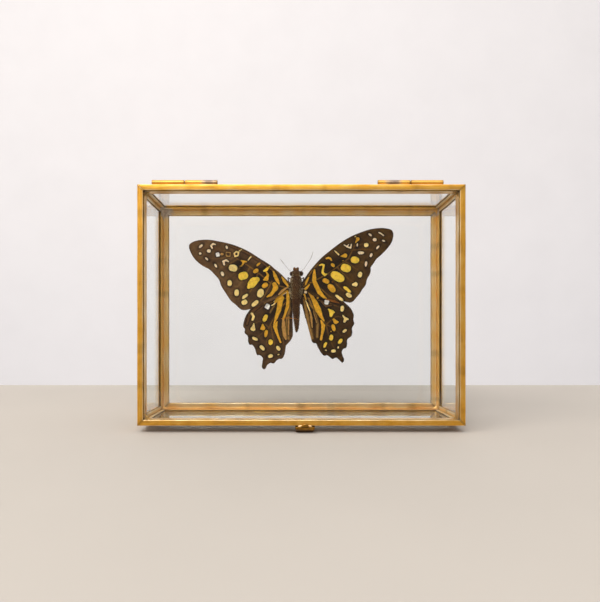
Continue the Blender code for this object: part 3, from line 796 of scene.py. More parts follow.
def depth_bars(material):
    """The four bars from front to back, each an angle with a slot for two side panes.

    A V-shaped groove runs along the inner corner, where the two lips meet.
    """
    fold = setting("glass_box_brass").corner
    inner, reach = WALL - SHEET, WALL + CORNER_LIP
    section = [
        (0, 0), (reach, 0), (reach, SHEET), (WALL, SHEET), (WALL, inner), (reach, inner),
        (reach, WALL), (WALL + 0.2, WALL), (WALL - 0.18, WALL - 0.18), (WALL, WALL + 0.2),
        (WALL, reach), (inner, reach), (inner, WALL), (SHEET, WALL), (SHEET, reach), (0, reach),
    ]
    radii = [fold, 0.14, 0.14, 0.1, 0.1, 0.06, 0.26, 0.1, 0.03, 0.1, 0.26, 0.06, 0.1, 0.1, 0.14, 0.14]
    # The lips' edges get wide painted highlight lines, partly metal worn bright, that pale most of each lip
    folds = ((reach, WALL, 0.7), (WALL, reach, 0.7))
    start, length = RIM_END + SEAM, BACK_START - RIM_END - 2 * SEAM
    seed = 60

    def inside(u, w):
        """Sheltered past the wall's thickness both ways: painted paler there."""
        return smooth(WALL - 0.3, WALL - 0.1, np.minimum(u, w))

    shape = section, radii, (WALL - 0.1, WALL - 0.1), folds, inside
    for row in ("bottom", "top"):
        for side, way in (("left", 1), ("right", -1)):
            def place(s, u, w, row=row, way=way):
                """Places along the depth, inset from the side and from the top or bottom."""
                z = np.clip(w if row == "bottom" else HEIGHT - w, 0, HEIGHT)
                return way * (u - WIDTH / 2), start + s, z

            runs = (BARE_END, DEPTH_RUN if (row, side) == ("top", "left") else BARE_END)
            swept_bar(f"depth_bar_{row}_{side}", shape, length, False, place, seed, "case", material,
                      DEPTH_STAIN, runs)
            seed += 5


# The knuckles: where round the axis the rolled sheet closes, their rims' radius,
# and how far from the box's middle the grey patch on the lid's knuckles is and
# how far it reaches. The pins: how long and how wide their blunt points are
ROLL_SEAM = 1.5 * math.pi + 0.5
RIM_ROUND = 0.22
SOLDER_PATCH = 38.4
PATCH_REACH = 2.9
PIN_POINT = 0.12
PIN_POINT_RADIUS = 0.25


def knuckle(name, x0, x1, body, seed, material):
    """A rolled tube on the hinge axis, with a narrow dip where the rolled sheet closes.

    A profile point (x, r) becomes (x, r cos a, r sin a) round the axis. The
    profile runs along the outside between two rounded rims and back through the bore.
    """
    rim = np.linspace(0, math.pi / 2, 7)
    in_x, in_r = RIM_ROUND * (1 - np.cos(rim)), RIM_ROUND * (1 - np.sin(rim))
    middle = np.linspace(x0 + RIM_ROUND, x1 - RIM_ROUND, 28)[1:-1]
    x = np.concatenate([x0 + in_x, middle, x1 - in_x[::-1], [x1, x0]])[:, None]
    outer = KNUCKLE_RADIUS - np.concatenate([in_r, 0 * middle, in_r[::-1]])
    r = np.concatenate([outer, [BORE_RADIUS, BORE_RADIUS]])[:, None]
    turns = np.linspace(0, 2 * math.pi, 72, endpoint=False)[None]
    outside = smooth(BORE_RADIUS + 0.1, KNUCKLE_RADIUS - 0.1, r)
    seam = 0.09 * np.exp(-((turns - ROLL_SEAM) / 0.055)**2)
    r = r - outside * (seam + 0.012 * (1 + wave(seed, 3.0, x, 1.5 * turns)))
    points = stacked(x, AXIS_Y + r * np.cos(turns), AXIS_Z + r * np.sin(turns))
    rows, columns = points.shape[:2]
    first, last = np.arange(columns), (rows - 1) * columns + np.arange(columns)
    closing = np.stack([last, np.roll(last, -1), np.roll(first, -1), first], -1)
    from_end = np.minimum(np.abs(x - x0), np.abs(x - x1))
    tinned = film = 0.0 * points[..., 0]
    if body == "lid":
        patch_x = math.copysign(SOLDER_PATCH, (x0 + x1) / 2)
        patch = np.exp(-((x - patch_x) / PATCH_REACH)**4)
        patch = patch * (0.85 + 0.35 * wave(seed + 3, 2.4, x, turns))
        tinned = np.clip(1.1 * patch, 0, 1)
        film = 0.7 * tinned
    uv = stacked(x * MM, turns * KNUCKLE_RADIUS * MM)
    add_piece(
        f"{name}_tube", points, [grid_faces(rows, columns, wrap=True), closing], material, body,
        "brass", replaces=[name], uv=uv, tarnish=0.5 * np.exp(-from_end / 0.5) + film,
        tinned=tinned,
    )


def hinge_bead(name, x0, x1, way, body, seed, material):
    """Solder that runs along under a knuckle and joins it to its bar.

    Across the run it is a hollow fillet: the quadratic curve from the bar's
    top to the knuckle's side, bent towards the corner between them.
    """
    share = np.linspace(0, 1, 60)[:, None]
    t = np.linspace(0, 1, 9)[None]
    swell = 1 + 0.22 * wave(seed, 4.0, share * (x1 - x0))
    closed = np.sqrt(np.clip(1 - np.abs(2 * share - 1)**6, 0, 1)) * swell
    start_y, start_z = AXIS_Y + way * (0.85 + 0.6 * closed), HEIGHT - 0.02
    corner_y, corner_z = AXIS_Y + way * 0.7, HEIGHT + 0.12
    end_y, end_z = AXIS_Y + way * 0.6, AXIS_Z - 0.98 + 0.1 * closed
    y = (1 - t)**2 * start_y + 2 * t * (1 - t) * corner_y + t**2 * end_y
    z = (1 - t)**2 * start_z + 2 * t * (1 - t) * corner_z + t**2 * end_z
    y = np.concatenate([y, AXIS_Y + way * 0.2 + 0 * share], 1)
    z = np.concatenate([z, start_z + 0 * share], 1)
    points = stacked(x0 + share * (x1 - x0), y, z)
    add_piece(name, points, tube_faces(*points.shape[:2]), material, body, "solder", tarnish=0.45)


def hinges(brass, pin_brass, solder):
    """Two hinges: the knuckle nearer the corner is the case's, the other the lid's."""
    seed = 100
    for side, centre in HINGE_CENTRES.items():
        outward = -1 if side == "left" else 1
        for owner, way, lean in (("case", outward, 1), ("lid", -outward, -1)):
            x0, x1 = sorted((centre + way * GAP / 2, centre + way * (GAP / 2 + KNUCKLE_LENGTH)))
            knuckle(f"hinge_{side}_{owner}_knuckle", x0, x1, owner, seed, brass)
            name = f"hinge_{side}_{owner}_solder"
            hinge_bead(name, x0 + 0.5, x1 - 0.5, lean, owner, seed + 1, solder)
            seed += 5
        reach = GAP / 2 + KNUCKLE_LENGTH
        along = centre + np.array([-reach, PIN_POINT - reach, reach - PIN_POINT, reach])
        line = stacked(along, AXIS_Y, AXIS_Z)
        radii = [PIN_POINT_RADIUS, PIN_RADIUS, PIN_RADIUS, PIN_POINT_RADIUS]
        points, faces = tube_along(line, radii, 24)
        add_piece(f"hinge_{side}_pin_rod", points, faces, pin_brass, "case", "aged_brass",
                  replaces=[f"hinge_{side}_pin"])


# The catch, the same dimensions as the solid
CATCH_X = 1.5
CATCH_WIDTH = 8.3
CATCH_TAPER = 1.1
CATCH_SHEET = 0.7
CATCH_TOP = -GAP
CATCH_FRONT = LID_FRONT - GAP - CATCH_SHEET
CATCH_BEND = -1.0
FOOT_FRONT = -17.4
FOOT_BACK = -16.2
EAR_RADIUS = 1.75
EAR_TOP = 1.0
# Half the length and the thickness of the solder between the catch and the lid
CATCH_BEAD_REACH = 2.9
CATCH_BEAD_RADIUS = 0.33


def floor_line(y):
    """Height, in the upright box's frame, of the surface that the leaning box stands on."""
    return -(BACK - y) * math.tan(LEAN)


def rounded_plate(profile, half_thickness, edge):
    """A plate of constant profile whose rims are rounded, as rings of (u, v) with an offset.

    Towards each face the profile shrinks along its inward normals by
    e(1 - cos a) while the offset grows by e sin a, for a from 0 to 90 degrees.
    """
    tangents = np.roll(profile, -1, 0) - np.roll(profile, 1, 0)
    normals = stacked(tangents[:, 1], -tangents[:, 0])
    normals /= np.linalg.norm(normals, axis=1, keepdims=True)
    area = np.sum(profile[:, 0] * np.roll(profile[:, 1], -1) - np.roll(profile[:, 0], -1) * profile[:, 1])
    normals = normals if area > 0 else -normals
    angles = np.linspace(0, math.pi / 2, 6)
    out = half_thickness - edge + edge * np.sin(angles)
    shrink = edge * (1 - np.cos(angles))
    offsets = np.concatenate([-out[::-1], np.linspace(-out[0], out[0], 14)[1:-1], out])
    shrinks = np.concatenate([shrink[::-1], np.zeros(12), shrink])
    rings = profile[None] - shrinks[:, None, None] * normals[None]
    return rings, offsets


def catch(brass, solder):
    """The bent strip under the lid, narrower at the foot, with a round ear on the lid's face."""
    rear = LID_FRONT - GAP
    section = [
        (CATCH_FRONT, CATCH_TOP), (CATCH_FRONT, CATCH_BEND), (-20.7, -1.45), (-18.2, -2.55),
        (FOOT_FRONT, floor_line(FOOT_FRONT)), (FOOT_BACK, floor_line(FOOT_BACK)), (-15.4, -2.45),
        (-13.6, -1.4), (-12.6, -1.2), (-12.6, -0.55), (-13.8, -0.7), (-15.7, -1.8), (-16.5, -2.05),
        (-17.3, -2.05), (-18.0, -1.85), (-20.3, -0.85), (rear, CATCH_TOP),
    ]
    radii = [0.15, 0.25, 0.3, 0.4, 0.25, 0.25, 0.4, 0.3, 0.2, 0.2, 0.3, 0.3, 0.25, 0.25, 0.3, 0.2, 0.15]
    profile = rounded_profile(section, radii, 4)
    rings, offsets = rounded_plate(profile, CATCH_WIDTH / 2, 0.2)
    narrowing = 1 - CATCH_TAPER / CATCH_WIDTH * np.clip(rings[..., 1] / floor_line(FOOT_FRONT), 0, 1)
    x = CATCH_X + offsets[:, None] * narrowing
    points = np.concatenate([x[..., None], rings], -1)
    strip = points.reshape(-1, 3)
    faces = turned_out(strip, tube_faces(*points.shape[:2]))

    turns = np.linspace(0, math.pi, 33)
    arc = stacked(EAR_RADIUS * np.cos(turns), EAR_TOP - EAR_RADIUS + EAR_RADIUS * np.sin(turns))
    arc[[0, -1], 1] = CATCH_TOP - 0.35
    rings, offsets = rounded_plate(arc, CATCH_SHEET / 2, 0.3)
    y = CATCH_FRONT + CATCH_SHEET / 2 + offsets[:, None]
    ear = stacked(CATCH_X + rings[..., 0], y, rings[..., 1])
    ear_faces = turned_out(ear.reshape(-1, 3), tube_faces(*ear.shape[:2]))
    faces += [group + len(strip) for group in ear_faces]
    points = np.concatenate([strip, ear.reshape(-1, 3)])
    uv = points[:, [0, 2]] * MM
    # The brown film on the catch is painted shade: the catch lies in the shadow under the lid's frame
    patches = np.clip(0.25 + 0.3 * wave(301, 3.0, points[:, 0], points[:, 2]), 0, 1)
    add_piece("catch_strip", points, faces, brass, "lid", "aged_brass", replaces=["catch"], uv=uv,
              tarnish=patches)

    share = np.linspace(0, math.pi, 25)[:, None]
    around = np.linspace(0, 2 * math.pi, 12, endpoint=False)[None]
    size = CATCH_BEAD_RADIUS * np.sin(share)**0.4 * (1 + 0.15 * wave(305, 1.2, share * 2, around))
    points = stacked(
        CATCH_X - CATCH_BEAD_REACH * np.cos(share), LID_FRONT - 0.12 + size * np.cos(around) * 0.6,
        CATCH_TOP + 0.25 + size * np.sin(around),
    )
    add_piece("catch_solder", points, tube_faces(*points.shape[:2]), solder, "lid", "solder", tarnish=0.55)


# The drops of solder: how far they run along the bars, and how hollow they are
FILLET = 2.4
LARGE_FILLET = 5.2
FILLET_HOLLOW = 0.74
FILLET_ROWS = 26


def solder_drop(name, corner, ways, size, seed, gilt, material):
    """A drop of solder in an inner corner: a hollow web that runs out along the three bars.

    The shares s(1-t), (1-s)(1-t) and t of the size along the three walls are
    scaled until a^n + b^n + c^n = 1, which is hollow for n below 1, and the
    reach then swells and dips by a slow wave. A fan from the corner closes it.
    """
    s, t = np.linspace(0, 1, FILLET_ROWS)[None], np.linspace(0, 1, FILLET_ROWS)[:-1, None]
    shares = stacked(s * (1 - t), (1 - s) * (1 - t), t).reshape(-1, 3)
    shares = np.concatenate([shares, [[0, 0, 1.0]]])
    shares = shares / (shares**FILLET_HOLLOW).sum(1, keepdims=True)**(1 / FILLET_HOLLOW)
    reach = size * (1 + 0.1 * np.random.default_rng(seed).uniform(-1, 0.4, 3))
    swell = 1 + 0.06 * wave(seed, 0.9, *shares.T)[:, None]
    start = np.asarray(corner) + 0.02 * np.asarray(ways)
    points = np.concatenate([start + shares * swell * reach * ways, [start]])
    rows, columns = FILLET_ROWS - 1, FILLET_ROWS
    pole, centre = rows * columns, rows * columns + 1
    top = (rows - 1) * columns + np.arange(columns)
    cap = stacked(top[:-1], top[1:], pole)
    rim = np.concatenate([np.arange(columns), np.arange(1, rows) * columns + columns - 1, [pole],
                          np.arange(rows - 1, 0, -1) * columns])
    fan = stacked(np.roll(rim, -1), rim, centre)
    add_piece(f"{name}_drop", points, [grid_faces(rows, columns), np.concatenate([cap, fan])],
              material, "case", "solder", replaces=[name], tarnish=gilt)


def solder_drops(material):
    """One drop in each of the eight inner corners, the one at the back top left the largest."""
    seed = 400
    for row, z, up in (("bottom", WALL, 1), ("top", HEIGHT - WALL, -1)):
        for side, x, in_ward in (("left", WALL - WIDTH / 2, 1), ("right", WIDTH / 2 - WALL, -1)):
            for end, y, along in (("front", RIM_FRONT + SHEET, 1), ("back", BACK_INNER, -1)):
                large = (end, row, side) == ("back", "top", "left")
                size = LARGE_FILLET if large else FILLET + 0.5 * (end == "front")
                gilt = 0.0 if large else 1.0 if end == "front" else 0.8
                name = f"solder_{end}_{row}_{side}"
                solder_drop(name, (x, y, z), (in_ward, along, up), size, seed, gilt, material)
                seed += 3


# Wing outlines in millimetres from the thorax: +x right and +z up, from the
# front of the root round the tip to the back of it. They are the solids', with
# each root carried on into the thorax
LEFT_FOREWING = (
    (-1.8, 3.2), (-3.2, 4.1), (-4.5, 5.3), (-7.1, 7.9), (-9.4, 9.7), (-11.6, 11.6), (-16.3, 14.5),
    (-20.7, 17.3), (-25.1, 19.4), (-29.5, 20.9), (-34.2, 21.9), (-39.0, 22.6),
    (-43.3, 22.3), (-46.4, 21.2), (-47.5, 19.6), (-46.7, 16.7), (-44.7, 13.6),
    (-41.6, 11.0), (-38.7, 9.5), (-36.4, 7.3), (-34.3, 4.8), (-33.4, 2.2),
    (-31.8, -0.4), (-29.2, -4.3), (-26.9, -6.3), (-25.1, -8.0), (-23.9, -8.6),
    (-22.3, -8.6), (-20.2, -8.1), (-17.7, -7.0), (-15.9, -5.9), (-13.1, -4.9),
    (-10.8, -4.5), (-7.6, -2.2), (-5.0, 0.0), (-3.5, 0.9), (-1.8, 1.2),
)
RIGHT_FOREWING = (
    (1.8, 3.2), (3.2, 4.6), (6.3, 9.1), (10.8, 14.2), (15.3, 18.0), (19.7, 21.3), (24.2, 24.0),
    (28.7, 25.9), (33.2, 27.3), (37.7, 27.8), (40.5, 27.5), (42.3, 26.9), (43.1, 25.5),
    (43.1, 23.6), (42.3, 21.1), (40.5, 18.6), (38.1, 16.1), (35.8, 14.0), (34.5, 12.1),
    (33.3, 10.3), (33.3, 8.9), (32.8, 7.1), (31.7, 5.2), (31.0, 2.5), (29.6, 0.6),
    (28.5, -1.2), (26.9, -3.1), (25.5, -4.7), (24.1, -5.3), (21.8, -4.9), (18.4, -4.4),
    (15.7, -3.9), (13.0, -3.4), (9.9, -2.9), (7.4, -2.1), (5.0, -0.2), (3.5, 0.9),
    (1.8, 1.2),
)
LEFT_HINDWING = (
    (-1.8, 0.4), (-3.0, 0.9), (-5.6, 0.4), (-9.4, -1.2), (-15.3, -4.2), (-19.0, -6.6),
    (-21.6, -9.7),
    (-22.8, -11.9), (-23.7, -15.5), (-22.9, -17.2), (-23.0, -18.8), (-21.6, -20.4),
    (-21.5, -22.5), (-20.8, -24.1), (-19.6, -24.2), (-18.4, -25.9), (-17.9, -27.8),
    (-17.3, -28.8), (-16.2, -28.8), (-14.9, -30.1), (-15.1, -32.2), (-15.3, -34.0),
    (-14.5, -35.1), (-13.6, -34.7), (-12.9, -33.3), (-11.5, -32.3), (-9.9, -32.5),
    (-8.7, -31.2), (-7.6, -30.5), (-6.2, -30.3), (-5.3, -28.9), (-4.8, -26.9),
    (-4.8, -25.0), (-3.5, -23.4), (-2.3, -22.0), (-1.4, -19.7), (-1.6, -15.1),
    (-2.1, -11.9), (-2.2, -9.2), (-2.1, -6.9), (-1.6, -6.0),
)
RIGHT_HINDWING = (
    (1.8, 0.4), (3.2, 0.9), (5.8, 0.3), (9.4, -0.9), (15.6, -2.2), (19.6, -3.6), (23.9, -7.1),
    (25.3, -9.2),
    (25.9, -11.0), (25.7, -12.9), (26.1, -14.7), (25.1, -16.6), (25.2, -18.7),
    (24.7, -20.3), (23.0, -21.8), (22.9, -24.0), (22.4, -25.5), (21.2, -26.0),
    (20.5, -27.4), (21.0, -29.2), (21.5, -30.4), (21.4, -31.5), (20.7, -32.2),
    (20.0, -31.6), (18.4, -30.1), (17.5, -30.0), (16.3, -30.5), (14.9, -29.5),
    (13.8, -28.8), (12.7, -29.1), (11.5, -28.1), (10.6, -26.7), (9.6, -24.9),
    (9.0, -23.5), (8.0, -23.4), (7.1, -22.6), (6.7, -20.7), (6.1, -18.4),
    (5.5, -16.1), (4.9, -13.4), (4.1, -12.0), (3.8, -9.2), (3.0, -6.7), (1.7, -5.6),
)
# Wing: outline, root, depth at the root, and how far it rises towards the
# viewer at a wing length from the root, all in millimetres
WINGS = {
    "left_forewing": (LEFT_FOREWING, (-1.8, 2.2), -0.6, 1.5),
    "right_forewing": (RIGHT_FOREWING, (1.8, 2.2), -0.6, 1.5),
    "left_hindwing": (LEFT_HINDWING, (-1.8, -2.8), 0.3, 0.7),
    "right_hindwing": (RIGHT_HINDWING, (1.8, -2.8), 0.3, 0.7),
}
WING_LENGTH = 45.0
WING_RAYS = 400
WING_RINGS = 105

# The wings' marks were read in the photograph's pixels, right and down.
# These turn them into millimetres from the thorax
THORAX_PIXEL = (296.0, 291.0)
PIXELS_PER_MM = 2.229

# Ovals: centre, length along x and z before turning, turn clockwise in
# degrees, and colour. A squareness of 2 is an ellipse, more is squarer
OVALS = {
    "right_forewing": (
        (332.7, 265.5, 5.2, 3.4, 45, "gold"), (337.3, 277.0, 15.2, 8.8, 30, "yellow"),
        (345.5, 268.5, 10.6, 8.2, 22, "yellow"), (354.5, 260.5, 8.8, 7.0, 5, "yellow"),
        (325.8, 281.3, 7.4, 5.0, 25, "gold"), (331.4, 288.5, 10.0, 6.2, 50, "gold"),
        (332.3, 282.3, 2.5, 1.2, 10, "orange"), (339.1, 298.2, 10.0, 3.4, 38, "pale"),
        (346.9, 289.8, 9.6, 3.6, 38, "yellow"), (348.5, 295.5, 6.6, 4.4, 38, "pale"),
        (359.6, 275.0, 4.6, 6.2, 8, "pale"), (365.5, 264.5, 2.7, 5.6, 8, "cream"),
        (370.5, 255.8, 2.8, 4.6, 18, "cream"), (376.9, 248.2, 2.4, 4.8, 38, "cream"),
        (382.6, 241.8, 4.0, 2.2, 25, "cream"), (369.5, 235.7, 4.6, 2.6, 30, "cream"),
        (373.9, 240.5, 4.0, 3.6, 0, "cream"), (365.6, 245.7, 4.8, 4.8, 0, "pale"),
        (360.4, 253.4, 6.4, 3.6, 4, "cream"), (356.9, 245.7, 1.9, 4.0, 4, "cream"),
        (342.8, 261.1, 1.9, 1.5, 0, "gold"), (354.8, 237.5, 2.4, 1.4, -25, "pale"),
        (357.3, 239.6, 4.0, 3.8, 0, "gold"),
    ),
    "right_hindwing": (
        (326.5, 302.3, 5.0, 4.9, 10, "white"), (333.5, 327.9, 4.2, 7.6, -18, "gold"),
        (330.9, 331.4, 1.7, 1.7, 0, "gold"), (331.1, 337.7, 4.4, 6.2, 10, "yellow"),
        (325.1, 344.9, 3.4, 6.6, 28, "yellow"), (325.8, 350.4, 2.6, 1.6, 0, "pale"),
        (333.4, 351.1, 5.2, 3.6, -8, "pale"), (338.0, 347.5, 2.0, 2.6, 20, "pale"),
        (340.1, 341.4, 3.8, 6.4, 38, "yellow"), (344.5, 330.9, 3.0, 5.2, 55, "pale"),
        (342.2, 308.7, 4.2, 6.6, 5, "pale"), (317.8, 297.9, 2.6, 2.8, 30, "gold"),
        (305.6, 292.2, 3.2, 3.0, 0, "cream"),
    ),
    "left_forewing": (
        (201.8, 247.0, 2.7, 5.2, 45, "cream"), (201.1, 254.3, 2.7, 2.7, 0, "cream"),
        (209.6, 251.8, 4.2, 3.9, 0, "cream"), (227.2, 247.9, 2.3, 3.9, -15, "cream"),
        (207.5, 259.5, 2.2, 4.2, -50, "cream"), (216.4, 266.2, 2.3, 4.4, -32, "cream"),
        (222.9, 274.3, 3.2, 5.0, -25, "cream"), (230.0, 283.5, 4.7, 6.2, 0, "pale"),
        (237.0, 292.9, 4.9, 7.0, 0, "pale"), (218.3, 255.3, 4.2, 4.4, -14, "white"),
        (222.6, 254.7, 3.2, 3.0, 0, "tan"),
        (233.5, 268.5, 8.8, 7.4, 10, "pale"), (243.5, 276.2, 10.5, 8.2, -20, "yellow"),
        (258.6, 264.7, 5.6, 2.4, -38, "gold"), (256.0, 271.4, 6.2, 4.4, -35, "gold"),
        (265.0, 285.7, 6.8, 5.0, -35, "gold"), (260.6, 293.4, 6.6, 9.2, 18, "pale"),
        (255.2, 303.7, 8.6, 4.6, -42, "pale"), (245.2, 296.6, 7.4, 3.6, -38, "pale"),
        (244.7, 302.5, 6.4, 5.2, -25, "pale"),
    ),
    "left_hindwing": (
        (252.9, 329.0, 5.2, 4.6, 20, "pale"), (255.0, 338.8, 3.2, 6.8, -62, "pale"),
        (262.2, 347.8, 4.0, 6.6, -48, "pale"), (270.5, 356.1, 5.4, 3.8, -15, "pale"),
        (278.5, 354.5, 2.4, 1.5, -10, "pale"), (278.3, 348.3, 3.8, 5.6, -38, "pale"),
        (270.6, 342.2, 4.8, 6.0, -10, "yellow"), (266.0, 333.6, 3.8, 7.8, 10, "gold"),
        (265.2, 318.3, 4.6, 8.2, 22, "yellow"), (267.5, 306.5, 4.8, 5.4, 28, "white"),
        (289.6, 292.6, 2.4, 2.0, 0, "cream"),
    ),
}
# The photograph's blur shows a mark wider than it is, by this many pixels, so
# ovals are built that much narrower and streaks half that much
BLUR = 0.45
SQUARENESS = 2.4
WINDOW_SQUARENESS = 7.0

# Streaks: points with the width at each, and colour
STREAKS = {
    "right_forewing": (
        (((314.4, 270.3, 1.6), (314.2, 274.5, 3.2), (314.0, 280.3, 4.2)), "gold"),
        (((314.2, 281.8, 4.2), (316.2, 286.0, 4.4), (319.2, 292.2, 4.4), (322.9, 296.5, 3.2),
          (326.2, 298.9, 2.0)), "gold"),
        (((319.4, 265.6, 1.6), (321.6, 264.6, 2.0), (323.6, 265.6, 2.3), (322.9, 269.0, 2.0),
          (322.4, 273.0, 2.6), (324.4, 275.2, 3.0), (326.8, 274.3, 1.4)), "yellow"),
        (((326.2, 258.8, 1.8), (328.3, 258.2, 2.2), (330.4, 259.3, 1.9), (331.3, 261.0, 1.3)), "gold"),
        (((334.3, 251.2, 1.0), (336.4, 253.2, 1.6), (338.4, 255.2, 1.8)), "pale"),
        (((340.4, 256.6, 1.0), (344.6, 256.2, 4.6)), "gold"),
        (((378.4, 233.4, 1.5), (382.6, 236.3, 1.6)), "cream"),
        (((357.0, 240.6, 2.8), (355.2, 243.0, 1.6)), "gold"),
        (((308.6, 277.6, 1.2), (307.0, 281.0, 2.4), (305.6, 284.6, 1.8)), "gold"),
        (((312.0, 268.0, 1.2), (326.0, 252.0, 1.6), (342.0, 240.8, 1.6), (352.0, 236.2, 1.2)), "umber"),
        (((343.9, 245.4, 1.2), (346.6, 247.3, 1.7), (350.3, 248.6, 1.7), (351.0, 245.0, 1.2)), "cream"),
        (((346.8, 246.6, 1.2), (348.4, 245.2, 1.0)), "cream"),
        (((352.9, 285.0, 2.6), (355.0, 284.6, 5.0)), "pale"),
        (((309.4, 285.0, 1.2), (306.5, 288.2, 2.8), (303.6, 291.0, 2.0)), "gold"),
    ),
    "right_hindwing": (
        (((328.6, 309.4, 1.4), (331.6, 312.2, 4.8), (331.0, 315.6, 3.2)), "yellow"),
        (((332.0, 312.2, 3.6), (334.4, 312.4, 1.6)), "yellow"),
        (((333.6, 319.6, 2.4), (335.7, 322.0, 4.2), (337.9, 322.2, 1.6)), "gold"),
        (((342.8, 315.6, 1.6), (345.2, 318.2, 2.6), (347.6, 319.3, 2.2)), "pale"),
        (((345.6, 319.0, 3.4), (344.4, 321.4, 3.0)), "pale"),
        (((309.6, 291.6, 3.4), (313.0, 298.7, 4.0), (316.2, 304.9, 5.2), (318.3, 310.2, 6.2),
          (320.8, 315.8, 4.0), (323.9, 320.8, 1.6)), "gold"),
        (((320.9, 320.6, 1.6), (323.2, 325.4, 4.2), (322.8, 330.5, 3.4), (321.9, 335.0, 2.6),
          (321.0, 339.7, 2.4)), "gold"),
        (((305.9, 300.6, 1.0), (307.6, 305.4, 1.5), (310.0, 311.4, 1.3)), "pale"),
        (((310.0, 311.4, 1.6), (311.4, 318.0, 2.2), (312.2, 327.5, 1.2)), "tan"),
        (((313.2, 310.5, 0.7), (316.5, 322.8, 0.9)), "tan"),
        (((304.4, 294.4, 1.8), (306.1, 299.4, 1.2)), "gold"),
        (((318.0, 295.6, 1.6), (325.0, 297.6, 3.0), (332.0, 300.4, 3.2), (339.0, 303.2, 1.2)), "orange"),
        (((321.4, 301.4, 2.0), (326.0, 306.4, 2.2), (331.6, 305.4, 1.4)), "umber"),
    ),
    "left_forewing": (
        (((213.0, 249.2, 1.7), (211.8, 246.7, 2.1), (214.0, 244.6, 1.9), (216.1, 245.3, 1.3)), "cream"),
        (((226.6, 253.0, 1.2), (226.9, 256.6, 1.5), (230.4, 256.9, 1.4), (230.8, 253.2, 1.0),
          (226.6, 253.0, 1.0)), "tan"),
        (((234.6, 254.0, 1.6), (236.6, 252.2, 1.6), (239.0, 253.2, 1.7), (238.2, 256.2, 1.6),
          (235.4, 257.0, 1.8), (234.6, 254.0, 1.6)), "pale"),
        (((239.4, 252.0, 1.3), (241.8, 250.2, 1.6)), "pale"),
        (((223.6, 262.2, 2.0), (226.6, 260.6, 2.2), (228.8, 262.0, 1.9)), "cream"),
        (((224.0, 262.0, 1.8), (224.6, 265.0, 2.0)), "cream"),
        (((241.2, 260.8, 1.2), (243.4, 262.0, 2.8), (246.6, 262.3, 1.6)), "gold"),
        (((243.8, 263.2, 2.4), (242.2, 266.2, 1.3), (239.8, 266.9, 0.9)), "gold"),
        (((248.2, 260.8, 1.4), (251.2, 257.2, 1.6)), "pale"),
        (((264.0, 271.4, 2.0), (266.5, 269.9, 3.2), (269.6, 266.8, 1.2)), "yellow"),
        (((266.2, 272.2, 1.4), (268.2, 275.4, 2.4), (266.4, 279.0, 4.6), (264.2, 280.0, 2.0)), "gold"),
        (((253.6, 282.2, 8.6), (251.6, 284.6, 7.6), (249.0, 287.2, 4.2)), "yellow"),
        (((255.2, 281.0, 8.2), (257.0, 279.8, 5.6)), "yellow"),
        (((231.0, 246.6, 1.6), (246.0, 252.6, 1.8), (262.0, 262.6, 2.0), (274.0, 271.6, 1.6)), "umber"),
        (((273.2, 270.8, 1.2), (275.2, 276.2, 4.0), (277.6, 281.2, 3.8), (279.2, 284.0, 1.6)), "gold"),
        (((281.6, 277.0, 1.0), (284.4, 281.4, 3.2), (287.8, 286.0, 2.0)), "gold"),
        (((288.6, 287.2, 1.0), (285.2, 288.8, 2.2), (282.0, 291.6, 2.8), (278.9, 294.6, 1.6)), "tan"),
        (((274.2, 284.2, 4.0), (275.8, 287.6, 5.4), (273.4, 291.8, 3.6), (270.8, 295.0, 3.4),
          (267.2, 297.0, 1.6)), "gold"),
    ),
    "left_hindwing": (
        (((251.9, 313.4, 2.6), (253.6, 316.6, 2.8), (252.6, 319.8, 2.4)), "pale"),
        (((253.9, 323.6, 1.4), (253.4, 327.6, 3.4)), "pale"),
        (((262.8, 324.6, 1.6), (262.8, 327.9, 5.0), (261.2, 329.0, 2.4)), "gold"),
        (((281.6, 298.2, 5.2), (280.0, 303.0, 5.2), (278.8, 309.8, 4.8), (276.9, 316.0, 3.8),
          (273.6, 324.7, 1.4)), "gold"),
        (((287.4, 287.6, 2.4), (283.6, 291.6, 4.6), (279.0, 297.0, 4.6), (275.4, 302.0, 3.0)), "gold"),
        (((286.4, 292.4, 0.9), (280.0, 297.6, 1.1), (273.6, 301.6, 1.0)), "cream"),
        (((277.4, 321.6, 1.2), (275.0, 326.6, 4.2), (277.4, 334.4, 2.6), (280.6, 342.5, 1.8)), "gold"),
        (((287.4, 291.2, 2.6), (288.0, 298.0, 3.6), (287.6, 306.3, 3.4), (285.4, 313.4, 2.6),
          (283.2, 319.4, 2.4)), "gold"),
        (((283.3, 319.6, 2.6), (283.6, 327.6, 4.2), (284.6, 335.0, 3.6), (286.0, 339.4, 1.6)), "tan"),
        (((288.9, 316.0, 0.8), (288.6, 326.0, 1.6), (288.4, 335.0, 1.0)), "tan"),
        (((262.0, 303.8, 2.0), (257.4, 307.2, 3.4), (252.4, 311.8, 3.0)), "umber"),
        (((249.6, 315.0, 2.6), (247.0, 324.0, 2.2)), "umber"),
        (((274.6, 303.6, 1.8), (271.8, 305.6, 1.2)), "pale"),
    ),
}
